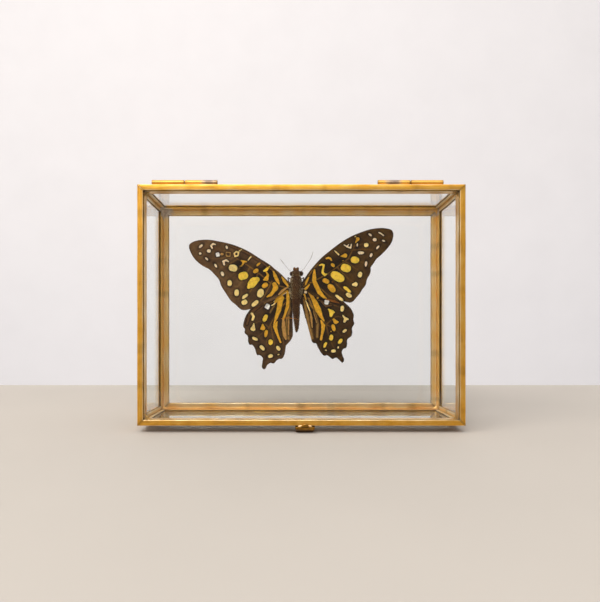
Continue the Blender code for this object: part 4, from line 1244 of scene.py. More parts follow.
# Hairy folds: soft bands of tan in the ground, as points with the width at each,
# and how much of the ground the tan takes over in their middle
FOLDS = {
    "left_hindwing": (
        ((289.8, 299.0, 1.6), (289.2, 309.0, 2.4), (287.6, 318.0, 3.0), (286.4, 328.0, 6.4),
         (287.2, 337.5, 5.0)),
        ((257.6, 306.4, 2.2), (263.4, 303.0, 3.4), (268.6, 301.0, 2.0)),
        ((274.6, 305.0, 1.2), (270.4, 312.4, 1.4)),
    ),
    "right_hindwing": (
        ((304.6, 302.0, 1.6), (306.6, 314.0, 2.6), (309.2, 326.0, 3.0), (311.8, 338.0, 3.0)),
        ((308.6, 298.6, 1.4), (311.8, 305.0, 1.8), (315.2, 313.6, 1.8), (317.4, 324.0, 2.6),
         (317.2, 337.0, 2.0)),
    ),
}
FOLD_SHARE = 0.6
# Veins: where each leaves the root's fan and where it ends, as points in the
# same pixels, drawn as low ridges that are a little paler than the ground
VEINS = {
    "right_forewing": (
        ((303.5, 286.4), (317.5, 279.5), (327.5, 274.0), (334.0, 269.5), (343.5, 262.5), (348.0, 259.0)),
        ((303.5, 284.0), (316.0, 266.0), (331.0, 250.5), (350.0, 237.5), (368.0, 231.0)),
        ((348.0, 259.0), (352.5, 250.0), (356.0, 242.0), (360.0, 232.0)),
        ((350.5, 250.5), (366.0, 250.2), (384.0, 252.5)), ((352.0, 247.5), (368.0, 243.5), (389.0, 243.0)),
        ((348.0, 259.0), (360.0, 262.5), (374.0, 267.5)), ((344.5, 262.0), (356.0, 269.5), (370.0, 278.0)),
        ((337.0, 267.5), (350.0, 280.5), (366.0, 287.5)), ((328.0, 273.5), (340.0, 288.5), (358.0, 298.5)),
        ((314.0, 281.5), (324.0, 292.0), (336.0, 301.0), (347.0, 303.0)),
    ),
    "left_forewing": (
        ((288.8, 288.4), (280.5, 286.4), (271.0, 283.6), (259.0, 273.5), (246.0, 264.5), (238.0, 259.5)),
        ((289.0, 284.0), (276.0, 270.0), (256.0, 256.5), (236.0, 247.0), (215.0, 242.5)),
        ((238.0, 259.5), (231.0, 253.5), (220.0, 249.5), (204.0, 243.5)),
        ((233.0, 254.5), (219.0, 250.5), (194.0, 247.0)), ((234.0, 258.0), (218.0, 259.0), (199.0, 259.0)),
        ((238.0, 259.5), (224.0, 267.5), (211.0, 269.5)), ((244.0, 263.5), (232.0, 276.0), (220.0, 282.0)),
        ((250.5, 267.5), (240.0, 284.5), (228.0, 296.0)), ((258.5, 272.5), (251.0, 291.0), (240.0, 306.0)),
        ((272.0, 281.5), (262.0, 299.5), (248.0, 310.0)),
    ),
    "right_hindwing": (
        ((303.5, 299.0), (317.0, 312.5), (326.0, 324.5)),
        ((303.5, 297.5), (320.0, 300.5), (336.0, 306.0), (353.0, 313.0)),
        ((326.0, 324.5), (337.5, 316.5), (351.0, 323.0)), ((326.0, 324.5), (336.0, 330.0), (347.0, 344.0)),
        ((326.0, 324.5), (330.5, 341.0), (341.5, 360.0)), ((323.5, 322.5), (322.0, 340.0), (319.5, 352.0)),
        ((303.5, 299.5), (310.5, 322.0), (314.0, 343.0)),
    ),
    "left_hindwing": (
        ((289.0, 299.0), (277.5, 312.0), (269.0, 327.5)),
        ((289.0, 297.5), (272.0, 302.5), (260.0, 309.0), (245.0, 322.0)),
        ((269.0, 327.5), (259.0, 321.5), (245.0, 333.0)), ((269.0, 327.5), (259.0, 336.0), (250.0, 347.0)),
        ((269.0, 327.5), (266.5, 345.0), (263.5, 362.0)), ((271.0, 325.5), (274.5, 345.0), (279.0, 358.0)),
        ((289.0, 299.5), (282.5, 322.0), (283.5, 345.0)),
    ),
}
VEIN_WIDTH = 0.23
# In millimetres: how far a mark's outline wanders, and how deep the pleats
# between the veins and the slow droop of the margins are
WANDER = 0.10
PLEAT = 0.05
DROOP = 0.08


def from_pixels(x, y):
    """Millimetres right of and above the thorax for a place in the photograph."""
    return ((np.asarray(x, float) - THORAX_PIXEL[0]) / PIXELS_PER_MM,
            (THORAX_PIXEL[1] - np.asarray(y, float)) / PIXELS_PER_MM)


def wing_depth(x, z, root, depth, rise):
    """The depth at the root, less the rise times the squared share of a wing length from the root."""
    return depth - rise * ((x - root[0])**2 + (z - root[1])**2) / WING_LENGTH**2


def inside_oval(x, z, oval):
    """Distance to the rim of a turned superellipse, positive inside.

    With u and v the place along its turned half-axes a and b, the distance is
    about (1 - (|u/a|^n + |v/b|^n)^(1/n)) times the smaller half-axis.
    """
    cx, cy, long, high, turn, colour = oval
    squareness = WINDOW_SQUARENESS if colour == "white" else SQUARENESS
    px, pz = from_pixels(cx, cy)
    a, b = (long - BLUR) / PIXELS_PER_MM / 2, (high - BLUR) / PIXELS_PER_MM / 2
    turn = -math.radians(turn)
    u = (x - px) * math.cos(turn) + (z - pz) * math.sin(turn)
    v = (z - pz) * math.cos(turn) - (x - px) * math.sin(turn)
    share = (np.abs(u / a)**squareness + np.abs(v / b)**squareness)**(1 / squareness)
    return (1 - share) * min(a, b)


def near_segment(x, z, x0, z0, x1, z1):
    """The share t along a segment where each place is nearest to it, and the distance from there.

    t is ((p - a).(b - a)) / |b - a|^2, kept between 0 and 1.
    """
    dx, dz = x1 - x0, z1 - z0
    t = np.clip(((x - x0) * dx + (z - z0) * dz) / (dx * dx + dz * dz), 0, 1)
    return t, np.hypot(x - x0 - t * dx, z - z0 - t * dz)


def inside_streak(x, z, knots):
    """Distance to the rim of a streak: half its width where it passes nearest, less the distance to it."""
    best = np.full(np.shape(x), -1e3)
    points = [(*from_pixels(px, py), width / PIXELS_PER_MM) for px, py, width in knots]
    for (x0, z0, w0), (x1, z1, w1) in zip(points, points[1:]):
        t, distance = near_segment(x, z, x0, z0, x1, z1)
        best = np.maximum(best, (w0 + t * (w1 - w0)) / 2 - distance)
    return best - BLUR / PIXELS_PER_MM / 4


def marks_at(name, x, z):
    """The distance to the nearest mark's rim at each place of a wing, and that mark's colour."""
    colours = setting("glass_box_butterfly")
    nearest = np.full(np.shape(x), -1e3)
    tint = np.zeros((*np.shape(x), 3))
    x = x + WANDER * wave(17, 2.4, x, z)
    z = z + WANDER * wave(18, 2.4, x, z)
    found = [(inside_oval(x, z, oval), oval[-1]) for oval in OVALS[name]]
    found += [(inside_streak(x, z, knots), colour) for knots, colour in STREAKS[name]]
    for distance, colour in found:
        nearer = distance > nearest
        nearest = np.where(nearer, distance, nearest)
        tint[nearer] = getattr(colours, colour)[:3]
    return nearest, tint


def veins_at(name, x, z):
    """How high the veins stand at each place, from 0 to 1: a bell curve across each vein."""
    height = np.zeros(np.shape(x))
    for vein in VEINS[name]:
        knots = smooth_line([from_pixels(px, py) for px, py in vein], 24)
        distances = [near_segment(x, z, *start, *end)[1] for start, end in zip(knots, knots[1:])]
        height = np.maximum(height, np.exp(-(np.min(distances, 0) / VEIN_WIDTH)**2))
    return height


def ground_shade(name, x, z, share):
    """The ground colour of a wing: dark by the body, paler outwards, with a dark margin.

    share is the way from the root to the outline, and slow waves cloud it.
    """
    colours = setting("glass_box_butterfly")
    inner = np.array(colours.ground[:3])
    # The left wings' paler outer colour is a painted sheen of the light from the left
    outer = np.array(getattr(colours, f"ground_{name.split('_')[0]}")[:3])
    if name.endswith("hindwing"):
        outer = 0.55 * outer + 0.45 * inner
    pale = smooth(0.25, 0.95, share) + 0.35 * wave(31, 9.0, x, z)
    shade = inner + np.clip(pale, 0, 1)[..., None] * (outer - inner)
    for knots in FOLDS.get(name, ()):
        soft = FOLD_SHARE * smooth(-0.4, 0.4, inside_streak(x, z, knots) + 0.15 * wave(33, 1.2, x, z))
        shade = shade + soft[..., None] * (np.array(colours.tan[:3]) - shade)
    margin = 1 - 0.3 * smooth(0.975, 0.995, share)
    return shade * margin[..., None]


def wing_faces(rows, columns):
    """The faces of a wing: a grid in front, one behind, their rims, and fans to the two root points.

    The front grid's points are numbered first, then the rear grid's, then the
    root's front and rear point. Each row is a ray from the root.
    """
    count = rows * columns
    first = np.arange(rows) * columns
    last = first + columns - 1
    near = np.arange(columns)
    far = (rows - 1) * columns + near
    pairs = (last[:-1], last[1:]), (near[:-1], near[1:]), (far[1:], far[:-1])
    rims = [stacked(a + count, b + count, b, a) for a, b in pairs]
    fan = stacked(first[:-1], first[1:], 2 * count)
    rear_fan = stacked(first[1:] + count, first[:-1] + count, 2 * count + 1)
    root_sides = np.array([[2 * count + 1, first[0] + count, first[0], 2 * count],
                           [first[-1] + count, 2 * count + 1, 2 * count, first[-1]]])
    grids = [grid_faces(rows, columns), grid_faces(rows, columns, start=count)[:, ::-1]]
    return [np.concatenate([*grids, *rims, root_sides]), np.concatenate([fan, rear_fan])]


def wing_surface(name):
    """Both faces of a wing as points, faces, UVs and colours.

    A place is root + s (outline - root): rays run to a smooth curve through
    the outline's points and rings cut them at the share s, closer together
    towards the rim. The sheet's middle lies at the wing's depth, dished by
    shallow pleats between the veins, and each face stands off it by half the
    thickness plus the veins' ridges.
    """
    settings = setting("glass_box_butterfly")
    outline, root, depth, rise = WINGS[name]
    curve = smooth_line(outline, WING_RAYS)
    share = np.linspace(0, 1, WING_RINGS)[1:][None, :, None]
    share = 1 - (1 - share)**1.25
    places = np.array(root) + share * (curve[:, None] - np.array(root))
    x, z, s = places[..., 0], places[..., 1], np.broadcast_to(share[..., 0], places.shape[:2])
    veins = veins_at(name, x, z)
    mark, tint = marks_at(name, x, z)
    ground = ground_shade(name, x, z, s)
    line = 0.75 * veins[..., None]
    ground = ground + line * (np.array(settings.vein_brown[:3]) - ground) * smooth(1.0, 0.3, s)[..., None]
    tint = tint * (1 - 0.15 * line)
    length = np.hypot(x - root[0], z - root[1])
    angle = np.arctan2(z - root[1], x - root[0])
    pleats = PLEAT * wave(41, 0.16, angle, 0) * smooth(3, 14, length) * (1 - veins)
    droop = DROOP * wave(43, 13.0, x, z) * smooth(0.5, 1.0, s)
    middle = wing_depth(x, z, root, depth, rise) + pleats + droop
    half = settings.thickness / 2 * (1 - 0.6 * smooth(0.94, 1.0, s)) + settings.vein * veins * (1 - s**8)
    front = stacked(x, middle - half, z)
    rear = stacked(x, middle + half, z)
    base = np.array([root[0], wing_depth(*root, root, depth, rise), root[1]])
    tips = np.array([base - [0, half.max() / 2, 0], base + [0, half.max() / 2, 0]])
    points = np.concatenate([front.reshape(-1, 3), rear.reshape(-1, 3), tips]) + THORAX
    uv = np.concatenate([np.tile(stacked(length, angle * 20).reshape(-1, 2), (2, 1)),
                         np.zeros((2, 2))]) * MM
    beneath = np.array(settings.underside[:3])
    under_ground = 0.55 * beneath + 0.9 * ground.reshape(-1, 3)
    under_tint = 0.8 * tint.reshape(-1, 3) + np.array([0.03, 0.04, 0.02])
    colours = {
        "mark": np.concatenate([mark.ravel(), mark.ravel(), [-1, -1]]),
        "tint": np.concatenate([tint.reshape(-1, 3), under_tint, np.zeros((2, 3))]),
        "ground": np.concatenate([ground.reshape(-1, 3), under_ground, np.zeros((2, 3)) + 0.02]),
    }
    return points, wing_faces(*x.shape), uv, colours


def wings():
    """Four wings, the forewings lying a little in front of the hindwings."""
    for name in WINGS:
        points, faces, uv, colours = wing_surface(name)
        material = wing_finish(f"{name}_scales")
        add_piece(f"{name}_scaled", points, faces, material, "case", "wing_scales", replaces=[name],
                  uv=uv, **colours)


# Body sections in millimetres from the thorax: height, middle in x, middle in
# y, half width, half thickness. The head is slimmer than the solid's, which
# takes in the eyes
BODY_SECTIONS = (
    (9.6, 0.0, 0.3, 0.9, 0.7), (9.1, 0.0, 0.4, 1.4, 1.2), (8.5, 0.0, 0.5, 2.0, 1.6),
    (7.8, 0.0, 0.5, 2.1, 1.8), (7.0, 0.0, 0.5, 2.1, 1.8), (6.2, 0.0, 0.6, 2.3, 2.1),
    (4.6, 0.0, 0.7, 2.6, 2.6), (2.2, 0.0, 0.8, 2.7, 2.8), (-0.6, 0.0, 0.8, 2.7, 2.8),
    (-3.0, 0.0, 0.8, 2.4, 2.4), (-4.6, 0.0, 0.7, 1.9, 1.9), (-6.6, 0.0, 0.6, 1.8, 1.9),
    (-9.4, 0.1, 0.6, 1.7, 1.9), (-12.4, 0.2, 0.5, 1.4, 1.6), (-15.2, 0.3, 0.4, 1.1, 1.3),
    (-17.4, 0.3, 0.4, 0.7, 0.8), (-18.6, 0.2, 0.3, 0.3, 0.4),
)
THORAX_UNDERSIDE = 3.6
ROD_RADIUS = 1.4
# Joints of the antennae and of the right legs, from the thorax
LEFT_ANTENNA = ((-2.5, 0.1, 9.0), (-3.2, -0.2, 9.5), (-4.0, -0.5, 10.3), (-5.0, -0.8, 11.5),
                (-6.1, -1.0, 12.9), (-7.1, -1.2, 14.2))
RIGHT_ANTENNA = ((2.5, 0.1, 9.0), (3.6, -0.3, 9.9), (4.7, -0.6, 11.6), (5.9, -0.9, 13.3),
                 (6.9, -1.1, 15.1), (7.6, -1.2, 17.5))
LEGS = {
    "front": ((1.5, 3.6, 4.9), (3.7, 4.6, 6.6), (3.0, 5.8, 3.6), (3.3, 6.2, 1.4)),
    "middle": ((2.2, 3.5, 1.6), (4.6, 4.7, 2.4), (3.7, 5.8, -1.4), (3.9, 6.2, -4.2)),
    "hind": ((1.9, 3.3, -2.2), (4.6, 4.4, -3.8), (5.2, 5.2, -7.8), (6.0, 5.4, -11.6)),
}
BODY_SIDES = 72
BODY_RINGS = 260
# Length of one of the abdomen's segments, and heights of the neck and the waist
SEGMENT = 1.75
NECK = 6.55
WAIST = -3.9
HAIR_RINGS = 4
HAIR_SIDES = 3
HAIR_RADIUS = 0.035


def body_at(height, turns):
    """Points of the body's skin: an oval section at each height, ringed by the abdomen's segments.

    Half width and thickness run smoothly through the sections and dip by a bell
    curve at the neck and at the waist. Below the thorax each segment swells by
    a raised cosine of the height over its length, and a shallow crease runs
    down the back.
    """
    sections = smooth_line(BODY_SECTIONS, 400)
    order = np.argsort(sections[:, 0])
    x, y, wide, thick = (np.interp(height, sections[order, 0], sections[order, i]) for i in range(1, 5))
    abdomen = np.clip((-3.4 - height) / 1.6, 0, 1)
    rings = 1 - 0.06 * abdomen * (0.5 + 0.5 * np.cos(2 * math.pi * height / SEGMENT))**6
    waist = 1 - 0.13 * np.exp(-((height - NECK) / 0.35)**2) - 0.08 * np.exp(-((height - WAIST) / 0.5)**2)
    crease = 1 - 0.05 * np.exp(-((turns - 1.5 * math.pi) / 0.16)**2)
    shape = rings * waist
    px = x + wide * shape * np.cos(turns)
    py = y + thick * shape * crease * np.sin(turns)
    return stacked(px, py, height)


def body_skin(material):
    """Head, thorax and abdomen as one skin, closed by a point at each end."""
    height = np.linspace(9.55, -18.55, BODY_RINGS)[:, None]
    turns = np.linspace(0, 2 * math.pi, BODY_SIDES, endpoint=False)[None]
    points = body_at(height, turns) + THORAX
    points[..., 1] += 0.03 * wave(71, 0.5, *np.moveaxis(points, -1, 0))
    ends = np.array([[0, 0.3, 9.65], [0.2, 0.3, -18.6]]) + THORAX
    points = np.concatenate([points.reshape(-1, 3), ends])
    add_piece("butterfly_skin", points, ball_faces(BODY_RINGS, BODY_SIDES), material, "case",
              "body_fur", replaces=["butterfly_body"])


def eyes(material):
    """Two compound eyes, the left one sunken: balls of the radii given, flattened at the top."""
    for side, centre, radii in (("left", (-2.0, 0.3, 7.7), (0.85, 0.95, 1.05)),
                                ("right", (2.3, 0.25, 7.8), (1.0, 1.05, 1.15))):
        across = np.linspace(0, math.pi, 22)[1:-1][:, None]
        turns = np.linspace(0, 2 * math.pi, 32, endpoint=False)[None]
        ball = stacked(np.sin(across) * np.cos(turns), np.sin(across) * np.sin(turns), np.cos(across))
        unit = np.concatenate([ball.reshape(-1, 3), [[0, 0, 1], [0, 0, -1]]])
        dimple = 1 + 0.03 * wave(73 if side == "left" else 74, 0.7, *unit.T)[:, None]
        points = unit * dimple * radii + centre + THORAX
        add_piece(f"{side}_eye", points, ball_faces(*ball.shape[:2]), material, "case", "body_fur")


def limb(name, knots, radii, material, replaces=(), sides=10, count=60):
    """A thin tapered limb along a smooth curve through its joints, its radius given at each."""
    line = smooth_line(np.column_stack([np.array(knots) + THORAX, radii]), count)
    points, faces = tube_along(line[:, :3], line[:, 3], sides)
    add_piece(name, points, faces, material, "case", "body_fur", replaces=replaces)


def antennae(material):
    """Two antennae, thin as thread, each ending in a small club."""
    for side, knots in (("left", LEFT_ANTENNA), ("right", RIGHT_ANTENNA)):
        limb(f"{side}_feeler", knots, (0.1, 0.06, 0.055, 0.06, 0.1, 0.05), material,
             replaces=[f"{side}_antenna"])


def palps(material):
    """Two blunt mouth parts side by side at the top of the head."""
    for side, way in (("left", -1), ("right", 1)):
        knots = ((way * 0.5, 0.3, 8.9), (way * 0.6, 0.0, 9.5), (way * 0.65, 0.0, 10.1),
                 (way * 0.6, 0.1, 10.22))
        limb(f"{side}_palp", knots, (0.62, 0.66, 0.66, 0.25), material, sides=16, count=30)


def legs(material):
    """Three pairs of folded legs under the thorax, thinner at each joint and bent sharply there."""
    radii = (0.3, 0.2, 0.27, 0.15, 0.19, 0.08)
    for place, joints in LEGS.items():
        for side, way in (("left", -1), ("right", 1)):
            a, b, c, d = (np.array([way * x, y, z]) for x, y, z in joints)
            knots = (a, a + 0.85 * (b - a), b + 0.18 * (c - b), b + 0.85 * (c - b), c + 0.15 * (d - c), d)
            limb(f"{side}_{place}_limb", knots, radii, material, replaces=[f"{side}_{place}_leg"], count=48)


def hair_mesh(roots, directions, lengths, bend):
    """Many tapered hairs as one mesh: three-sided, in three steps, each curving by its bend.

    A hair's line is root + direction l t + bend l t^2, its radius r (1 - 0.85 t)
    for the radius r at its root, and its tip is a small triangle.
    """
    t = np.linspace(0, 1, HAIR_RINGS)[None, :, None, None]
    line = roots[:, None, None] + directions[:, None, None] * lengths[:, None, None, None] * t
    line = line + bend[:, None, None] * lengths[:, None, None, None] * t**2
    side = np.cross(directions, [0.31, 0.77, -0.55])
    side /= np.linalg.norm(side, axis=1, keepdims=True)
    other = np.cross(directions, side)
    turns = np.linspace(0, 2 * math.pi, HAIR_SIDES, endpoint=False)[None, None, :, None]
    ring = np.cos(turns) * side[:, None, None] + np.sin(turns) * other[:, None, None]
    points = line + ring * HAIR_RADIUS * (1 - 0.85 * t)
    starts = HAIR_RINGS * HAIR_SIDES * np.arange(len(roots))[:, None, None]
    walls, *ends = tube_faces(HAIR_RINGS, HAIR_SIDES)
    quads = (walls[None] + starts).reshape(-1, 4)
    ends = (np.concatenate(ends)[None] + starts).reshape(-1, 3)
    return points.reshape(-1, 3), [quads, ends]


def fur(material):
    """Short hair on the thorax and head, thinner hair down the abdomen, and tufts over the wing roots.

    Hairs start on the body's skin, lean down along it and fan out from it.
    Their pale share is highest along the thorax's sides, in streaks: worn hair, with a painted highlight that
    pales the left side more.
    """
    settings = setting("glass_box_butterfly")
    random = np.random.default_rng(7)
    upper, lower, tufts = settings.hairs, settings.hairs // 2, settings.hairs // 3
    height = np.concatenate([
        random.uniform(-3.6, 9.3, upper), random.uniform(-17.8, -3.6, lower),
        random.uniform(-1.2, 3.6, tufts),
    ])
    turns = random.uniform(0, 2 * math.pi, upper + lower + tufts)
    turns[upper + lower:] = (
        random.uniform(-0.5, 0.5, tufts) + np.where(random.random(tufts) < 0.5, 0.0, math.pi)
    )
    roots = body_at(height, turns)
    out = roots - stacked(0.1, 0.6, height)
    out /= np.linalg.norm(out, axis=1, keepdims=True)
    spread = random.uniform(0.25, 0.7, len(out))
    spread[upper + lower:] += 1.6
    directions = out * spread[:, None] + [0, 0, -1.0] + random.normal(0, 0.25, out.shape)
    directions /= np.linalg.norm(directions, axis=1, keepdims=True)
    lengths = settings.hair_length * np.concatenate([
        random.uniform(0.4, 1.0, upper), random.uniform(0.2, 0.45, lower),
        random.uniform(0.6, 1.2, tufts),
    ])
    lengths *= 1 - 0.5 * np.exp(-((height + 3.4) / 1.2)**2)
    bend = out * -0.2 + random.normal(0, 0.1, out.shape)
    points, faces = hair_mesh(roots + THORAX - 0.03 * out, directions, lengths, bend)
    flank_wear_and_highlight = smooth(0.3, 0.8, np.abs(np.cos(turns))) * (0.35 + 0.65 * smooth(-6.0, -1.0, height))
    streaks = 0.7 + 0.45 * wave(81, 0.5, turns * 1.5, height * 0.12)
    # The left flank is paler than the right: a painted highlight of the light from the left
    flank_wear_and_highlight = flank_wear_and_highlight * (0.9 - 0.25 * np.cos(turns))
    pale = np.clip(flank_wear_and_highlight * streaks + random.normal(0.06, 0.18, len(out)), 0, 1)
    add_piece("body_fur", points, faces, material, "case", "body_fur", flat=True,
              pale=np.repeat(pale, len(points) // len(pale)))


def support_rod(material):
    """A clear rod with a slight swell of glue at both ends, turned round a line through the thorax."""
    y0, y1 = THORAX_UNDERSIDE + GAP, BACK - WALL / 2 - GLASS / 2 - GAP
    t = np.linspace(0, 1, 60)
    line = stacked(THORAX[0], y0 + t * (y1 - y0), THORAX[2])
    radius = ROD_RADIUS * (0.86 + 0.14 * np.exp(-t / 0.05) + 0.14 * np.exp(-(1 - t) / 0.05))
    points, (walls, *ends) = tube_along(line, radius, 48)
    # The end faces look into the rod, so they show as pale discs. Facing outwards
    # they would be clear like its wall
    faces = [walls, *(end[:, ::-1] for end in ends)]
    add_piece("clear_rod", points, faces, material, "case", "clear_rod", replaces=["support_rod"])


def stray_thread(material):
    """A loose orange thread that lies from the left hindwing to the abdomen."""
    x, z = from_pixels([281.0, 287.0, 293.0, 298.4], [318.9, 318.0, 318.6, 319.6])
    knots = stacked(x, [-0.75, -1.35, -1.75, -1.5], z)
    limb("stray_thread", knots, (0.09, 0.13, 0.11, 0.07), material, sides=6, count=30)


# The camera: where it is in the box's frame, in millimetres, looking straight
# along the box's depth, and the photograph's frame and vanishing point in pixels
CAMERA_PLACE = (-4.3, -253.0, 37.2)
FOCAL_PIXELS = 564.0
FRAME_PIXELS = (600, 602)
VANISHING_PIXEL = (291.0, 336.0)
SENSOR = 36.0

# Floor and wall, in metres from the origin
FLOOR_REACH = 0.9
FLOOR_REAR = 0.099
WALL_DISTANCE = 0.75
WALL_REACH = 1.6
SLAB = 0.02
# Directions in which the surroundings are brightest and dimmest
BRIGHT_WAY = (-0.45, -0.2, 0.87)
DIM_WAY = (0.0, -0.989, 0.148)


def camera():
    """A camera square to the box's front, shifted so that its vanishing point is the photograph's."""
    data = bpy.data.cameras.new("camera")
    data.sensor_fit = "HORIZONTAL"
    data.sensor_width = SENSOR
    data.lens = SENSOR * FOCAL_PIXELS / FRAME_PIXELS[0]
    data.shift_x = (FRAME_PIXELS[0] / 2 - VANISHING_PIXEL[0]) / FRAME_PIXELS[0]
    data.shift_y = (VANISHING_PIXEL[1] - FRAME_PIXELS[1] / 2) / FRAME_PIXELS[0]
    data.clip_start = 0.01
    obj = bpy.data.objects.new("camera", data)
    bpy.context.scene.collection.objects.link(obj)
    obj.location = to_world(CAMERA_PLACE)
    obj.rotation_euler = (math.pi / 2 - LEAN, 0, 0)
    bpy.context.scene.camera = obj


def plain_surface(name, colour, low, high):
    """A matt painted slab between two corners, for the floor or the wall."""
    material, tree, shader = new_material(name)
    place = add_node(tree, "ShaderNodeTexCoord")
    cloud = add_node(tree, "ShaderNodeTexNoise", {
        "Vector": place.outputs["Object"], "Scale": per_mm(60), "Detail": 3.0,
    })
    tone = add_node(tree, "ShaderNodeMapRange", {
        "Value": cloud.outputs["Fac"], "To Min": 0.97, "To Max": 1.03,
    })
    shade = add_node(tree, "ShaderNodeMix", {
        "Factor": 1.0, 6: colour, 7: tone.outputs[0],
    }, data_type="RGBA", blend_type="MULTIPLY")
    set_inputs(tree, shader, {
        "Base Color": shade.outputs[2], "Roughness": 0.75, "Specular IOR Level": 0.2,
    })
    (x0, y0, z0), (x1, y1, z1) = low, high
    corners = [(x, y, z) for x in (x0, x1) for y in (y0, y1) for z in (z0, z1)]
    faces = [(0, 1, 3, 2), (4, 6, 7, 5), (0, 4, 5, 1), (2, 3, 7, 6), (0, 2, 6, 4), (1, 5, 7, 3)]
    mesh = bpy.data.meshes.new(name)
    mesh.from_pydata(corners, [], faces)
    mesh.materials.append(material)
    obj = bpy.data.objects.new(name, mesh)
    bpy.context.scene.collection.objects.link(obj)


def soft_light(name, power, size, place, target, colour):
    """A large square area light that faces a point."""
    data = bpy.data.lights.new(name, "AREA")
    data.energy = power
    data.size = size
    data.color = linear(colour)[:3]
    obj = bpy.data.objects.new(name, data)
    bpy.context.scene.collection.objects.link(obj)
    obj.location = place
    obj.rotation_euler = (Vector(target) - Vector(place)).to_track_quat("-Z", "Y").to_euler()


def sky():
    """Light from all round: strongest above and to the left, dimmer straight ahead of the lid.

    The dim part is what the lid's glass mirrors, like the far side of a room.
    """
    settings = setting("glass_box_stage")
    world = bpy.data.worlds.new("studio")
    bpy.context.scene.world = world
    world.use_nodes = True
    tree = world.node_tree
    place = add_node(tree, "ShaderNodeTexCoord")
    lift = add_node(tree, "ShaderNodeVectorMath", {
        0: place.outputs["Generated"], 1: BRIGHT_WAY,
    }, operation="DOT_PRODUCT")
    level = add_node(tree, "ShaderNodeMapRange", {
        "Value": lift.outputs["Value"], "From Min": -0.8, "From Max": 0.9, "To Min": 0.45, "To Max": 1.35,
    })
    ahead = add_node(tree, "ShaderNodeVectorMath", {
        0: place.outputs["Generated"], 1: DIM_WAY,
    }, operation="DOT_PRODUCT")
    clear = add_node(tree, "ShaderNodeMapRange", {
        "Value": ahead.outputs["Value"], "From Min": 0.82, "From Max": 0.985, "To Min": 1.0, "To Max": 0.18,
    }, interpolation_type="SMOOTHSTEP")
    strength = add_node(tree, "ShaderNodeMath", {
        0: level.outputs[0], 1: clear.outputs[0],
    }, operation="MULTIPLY")
    set_inputs(tree, tree.nodes["Background"], {
        "Color": [c * settings.sky for c in linear("#fdfdff")[:3]] + [1.0],
        "Strength": strength.outputs[0],
    })


def stage():
    """Pale floor that ends behind the box, a pale wall further back, and soft studio light."""
    settings = setting("glass_box_stage")
    plain_surface("floor", settings.floor, (-FLOOR_REACH, -FLOOR_REACH, -SLAB),
                  (FLOOR_REACH, FLOOR_REAR, 0.0))
    plain_surface("wall", settings.wall, (-WALL_REACH, WALL_DISTANCE, -WALL_REACH),
                  (WALL_REACH, WALL_DISTANCE + SLAB, WALL_REACH))
    sky()
    aim = (0, 0, 0.05)
    soft_light("key", settings.key_power, 0.6, (-0.75, -0.45, 0.95), aim, "#fffaf3")
    soft_light("side", settings.side_power, 0.6, (-0.72, -0.95, 0.42), aim, "#fffaf3")
    soft_light("front", settings.front_power, 0.7, (-0.15, -1.0, 1.1), aim, "#ffffff")
    soft_light("wall_light", settings.wall_power, 1.6, (0.0, -0.45, 1.4), (0.0, 0.75, 0.25), "#fcfdff")
    bpy.context.scene.view_settings.view_transform = "Standard"


class GLASSBOX_OT_stage(bpy.types.Operator):
    """Sets up the camera, the pale floor and wall, and the light"""

    bl_idname = "glass_box.stage"
    bl_label = "Stage and Camera"

    def execute(self, context):
        camera()
        stage()
        return {"FINISHED"}


class GLASSBOX_OT_bars(bpy.types.Operator):
    """Builds the sixteen brass bars of the lid, rim, back frame and depth edges"""

    bl_idname = "glass_box.bars"
    bl_label = "Brass Bars"

    def execute(self, context):
        brass = brass_finish("rolled_brass")
        mitred_frame("lid", lid_section(), "lid", 1, brass)
        mitred_frame("rim", rim_section(), "case", 200, brass)
        mitred_frame("back", back_section(), "case", 500, brass, BACK_STAIN, BACK_RUNS, BACK_DUST_AND_LIGHT)
        depth_bars(brass)
        return {"FINISHED"}


class GLASSBOX_OT_panes(bpy.types.Operator):
    """Gives the six panes their glass"""

    bl_idname = "glass_box.panes"
    bl_label = "Glass Panes"

    def execute(self, context):
        glass = glass_finish("float_glass", smears=0.004)
        for side in ("lid", "back", "left", "right", "top", "bottom"):
            pane = frame["nodes"][f"{side}_pane"]
            pane.data.materials.clear()
            pane.data.materials.append(glass)
        return {"FINISHED"}


class GLASSBOX_OT_hinges(bpy.types.Operator):
    """Builds both barrel hinges with their pins and solder"""

    bl_idname = "glass_box.hinges"
    bl_label = "Hinges"

    def execute(self, context):
        # The hinge brass takes a little of the pale colour too, partly dusting and partly painted light, which
        # tones down its yellow
        brass = brass_finish("hinge_brass", tarnished=0.1, base_dust_and_light=0.35)
        hinges(brass, brass_finish("pin_brass", tarnished=0.6), solder_finish())
        return {"FINISHED"}


class GLASSBOX_OT_catch(bpy.types.Operator):
    """Builds the bent catch that is also the front foot"""

    bl_idname = "glass_box.catch"
    bl_label = "Catch"

    def execute(self, context):
        # The catch's brass is darkened as painted shade under the lid's frame
        catch(brass_finish("catch_brass", tarnished=0.45), solder_finish())
        return {"FINISHED"}


class GLASSBOX_OT_solder(bpy.types.Operator):
    """Puts a drop of solder in each inner corner"""

    bl_idname = "glass_box.solder"
    bl_label = "Solder Drops"

    def execute(self, context):
        solder_drops(solder_finish())
        return {"FINISHED"}


class GLASSBOX_OT_wings(bpy.types.Operator):
    """Builds the four wings with their veins and marks"""

    bl_idname = "glass_box.wings"
    bl_label = "Wings"

    def execute(self, context):
        wings()
        return {"FINISHED"}


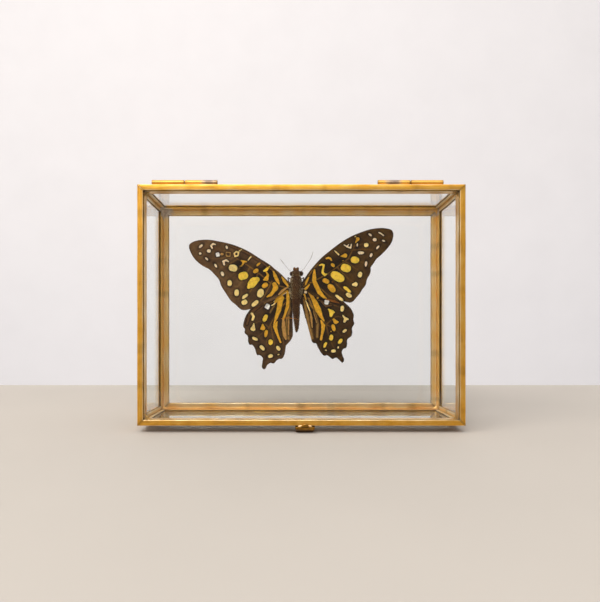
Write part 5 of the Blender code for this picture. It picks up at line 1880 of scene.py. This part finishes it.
class GLASSBOX_OT_body(bpy.types.Operator):
    """Builds the head, thorax, abdomen, eyes, mouth parts, feelers and legs"""

    bl_idname = "glass_box.body"
    bl_label = "Body and Limbs"

    def execute(self, context):
        colours = setting("glass_box_butterfly")
        skin = skin_finish("dried_skin", colours.skin)
        body_skin(skin)
        eyes(skin_finish("eye_glaze", linear("#442a14"), rough=0.3, grain=0.12))
        palps(skin_finish("palp_skin", linear("#6a4015"), rough=0.6))
        antennae(skin_finish("feeler_skin", linear("#7d6448"), rough=0.5))
        legs(skin_finish("leg_skin", linear("#4a3823"), rough=0.45))
        return {"FINISHED"}


class GLASSBOX_OT_fur(bpy.types.Operator):
    """Covers the body with short hair and adds the loose thread"""

    bl_idname = "glass_box.fur"
    bl_label = "Fur"

    def execute(self, context):
        colours = setting("glass_box_butterfly")
        fur(skin_finish("body_hair", colours.fur, rough=0.7, grain=0.8, pale=colours.fur_pale))
        stray_thread(skin_finish("orange_thread", linear("#c9772a"), rough=0.6))
        return {"FINISHED"}


class GLASSBOX_OT_rod(bpy.types.Operator):
    """Builds the clear rod that holds the butterfly off the back pane"""

    bl_idname = "glass_box.rod"
    bl_label = "Clear Rod"

    def execute(self, context):
        support_rod(glass_finish("clear_acrylic", smears=0.03))
        return {"FINISHED"}


class GLASSBOX_PT_panel(bpy.types.Panel):
    """Buttons and settings for the glass box"""

    bl_idname = "GLASSBOX_PT_panel"
    bl_label = "Glass Box"
    bl_space_type = "VIEW_3D"
    bl_region_type = "UI"
    bl_category = "Glass Box"

    def draw(self, context):
        for operator in OPERATORS:
            self.layout.operator(operator.bl_idname)
        for group, kind in SETTINGS.items():
            box = self.layout.box()
            for name in kind.__annotations__:
                box.prop(getattr(context.scene, group), name)


OPERATORS = (
    GLASSBOX_OT_stage, GLASSBOX_OT_bars, GLASSBOX_OT_panes, GLASSBOX_OT_hinges, GLASSBOX_OT_catch,
    GLASSBOX_OT_solder, GLASSBOX_OT_wings, GLASSBOX_OT_body, GLASSBOX_OT_fur, GLASSBOX_OT_rod,
)


def register():
    """Registers the classes and gives the scene each group of settings."""
    for kind in (*SETTINGS.values(), *OPERATORS, GLASSBOX_PT_panel):
        bpy.utils.register_class(kind)
    for group, kind in SETTINGS.items():
        setattr(bpy.types.Scene, group, bpy.props.PointerProperty(type=kind))


def unregister():
    """Takes the settings and the classes away again."""
    for group in SETTINGS:
        delattr(bpy.types.Scene, group)
    for kind in reversed((*SETTINGS.values(), *OPERATORS, GLASSBOX_PT_panel)):
        bpy.utils.unregister_class(kind)


def main():
    """Registers the add-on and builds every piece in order."""
    register()
    for operator in OPERATORS:
        category, name = operator.bl_idname.split(".")
        getattr(getattr(bpy.ops, category), name)()
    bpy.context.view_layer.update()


if __name__ == "__main__":
    main()
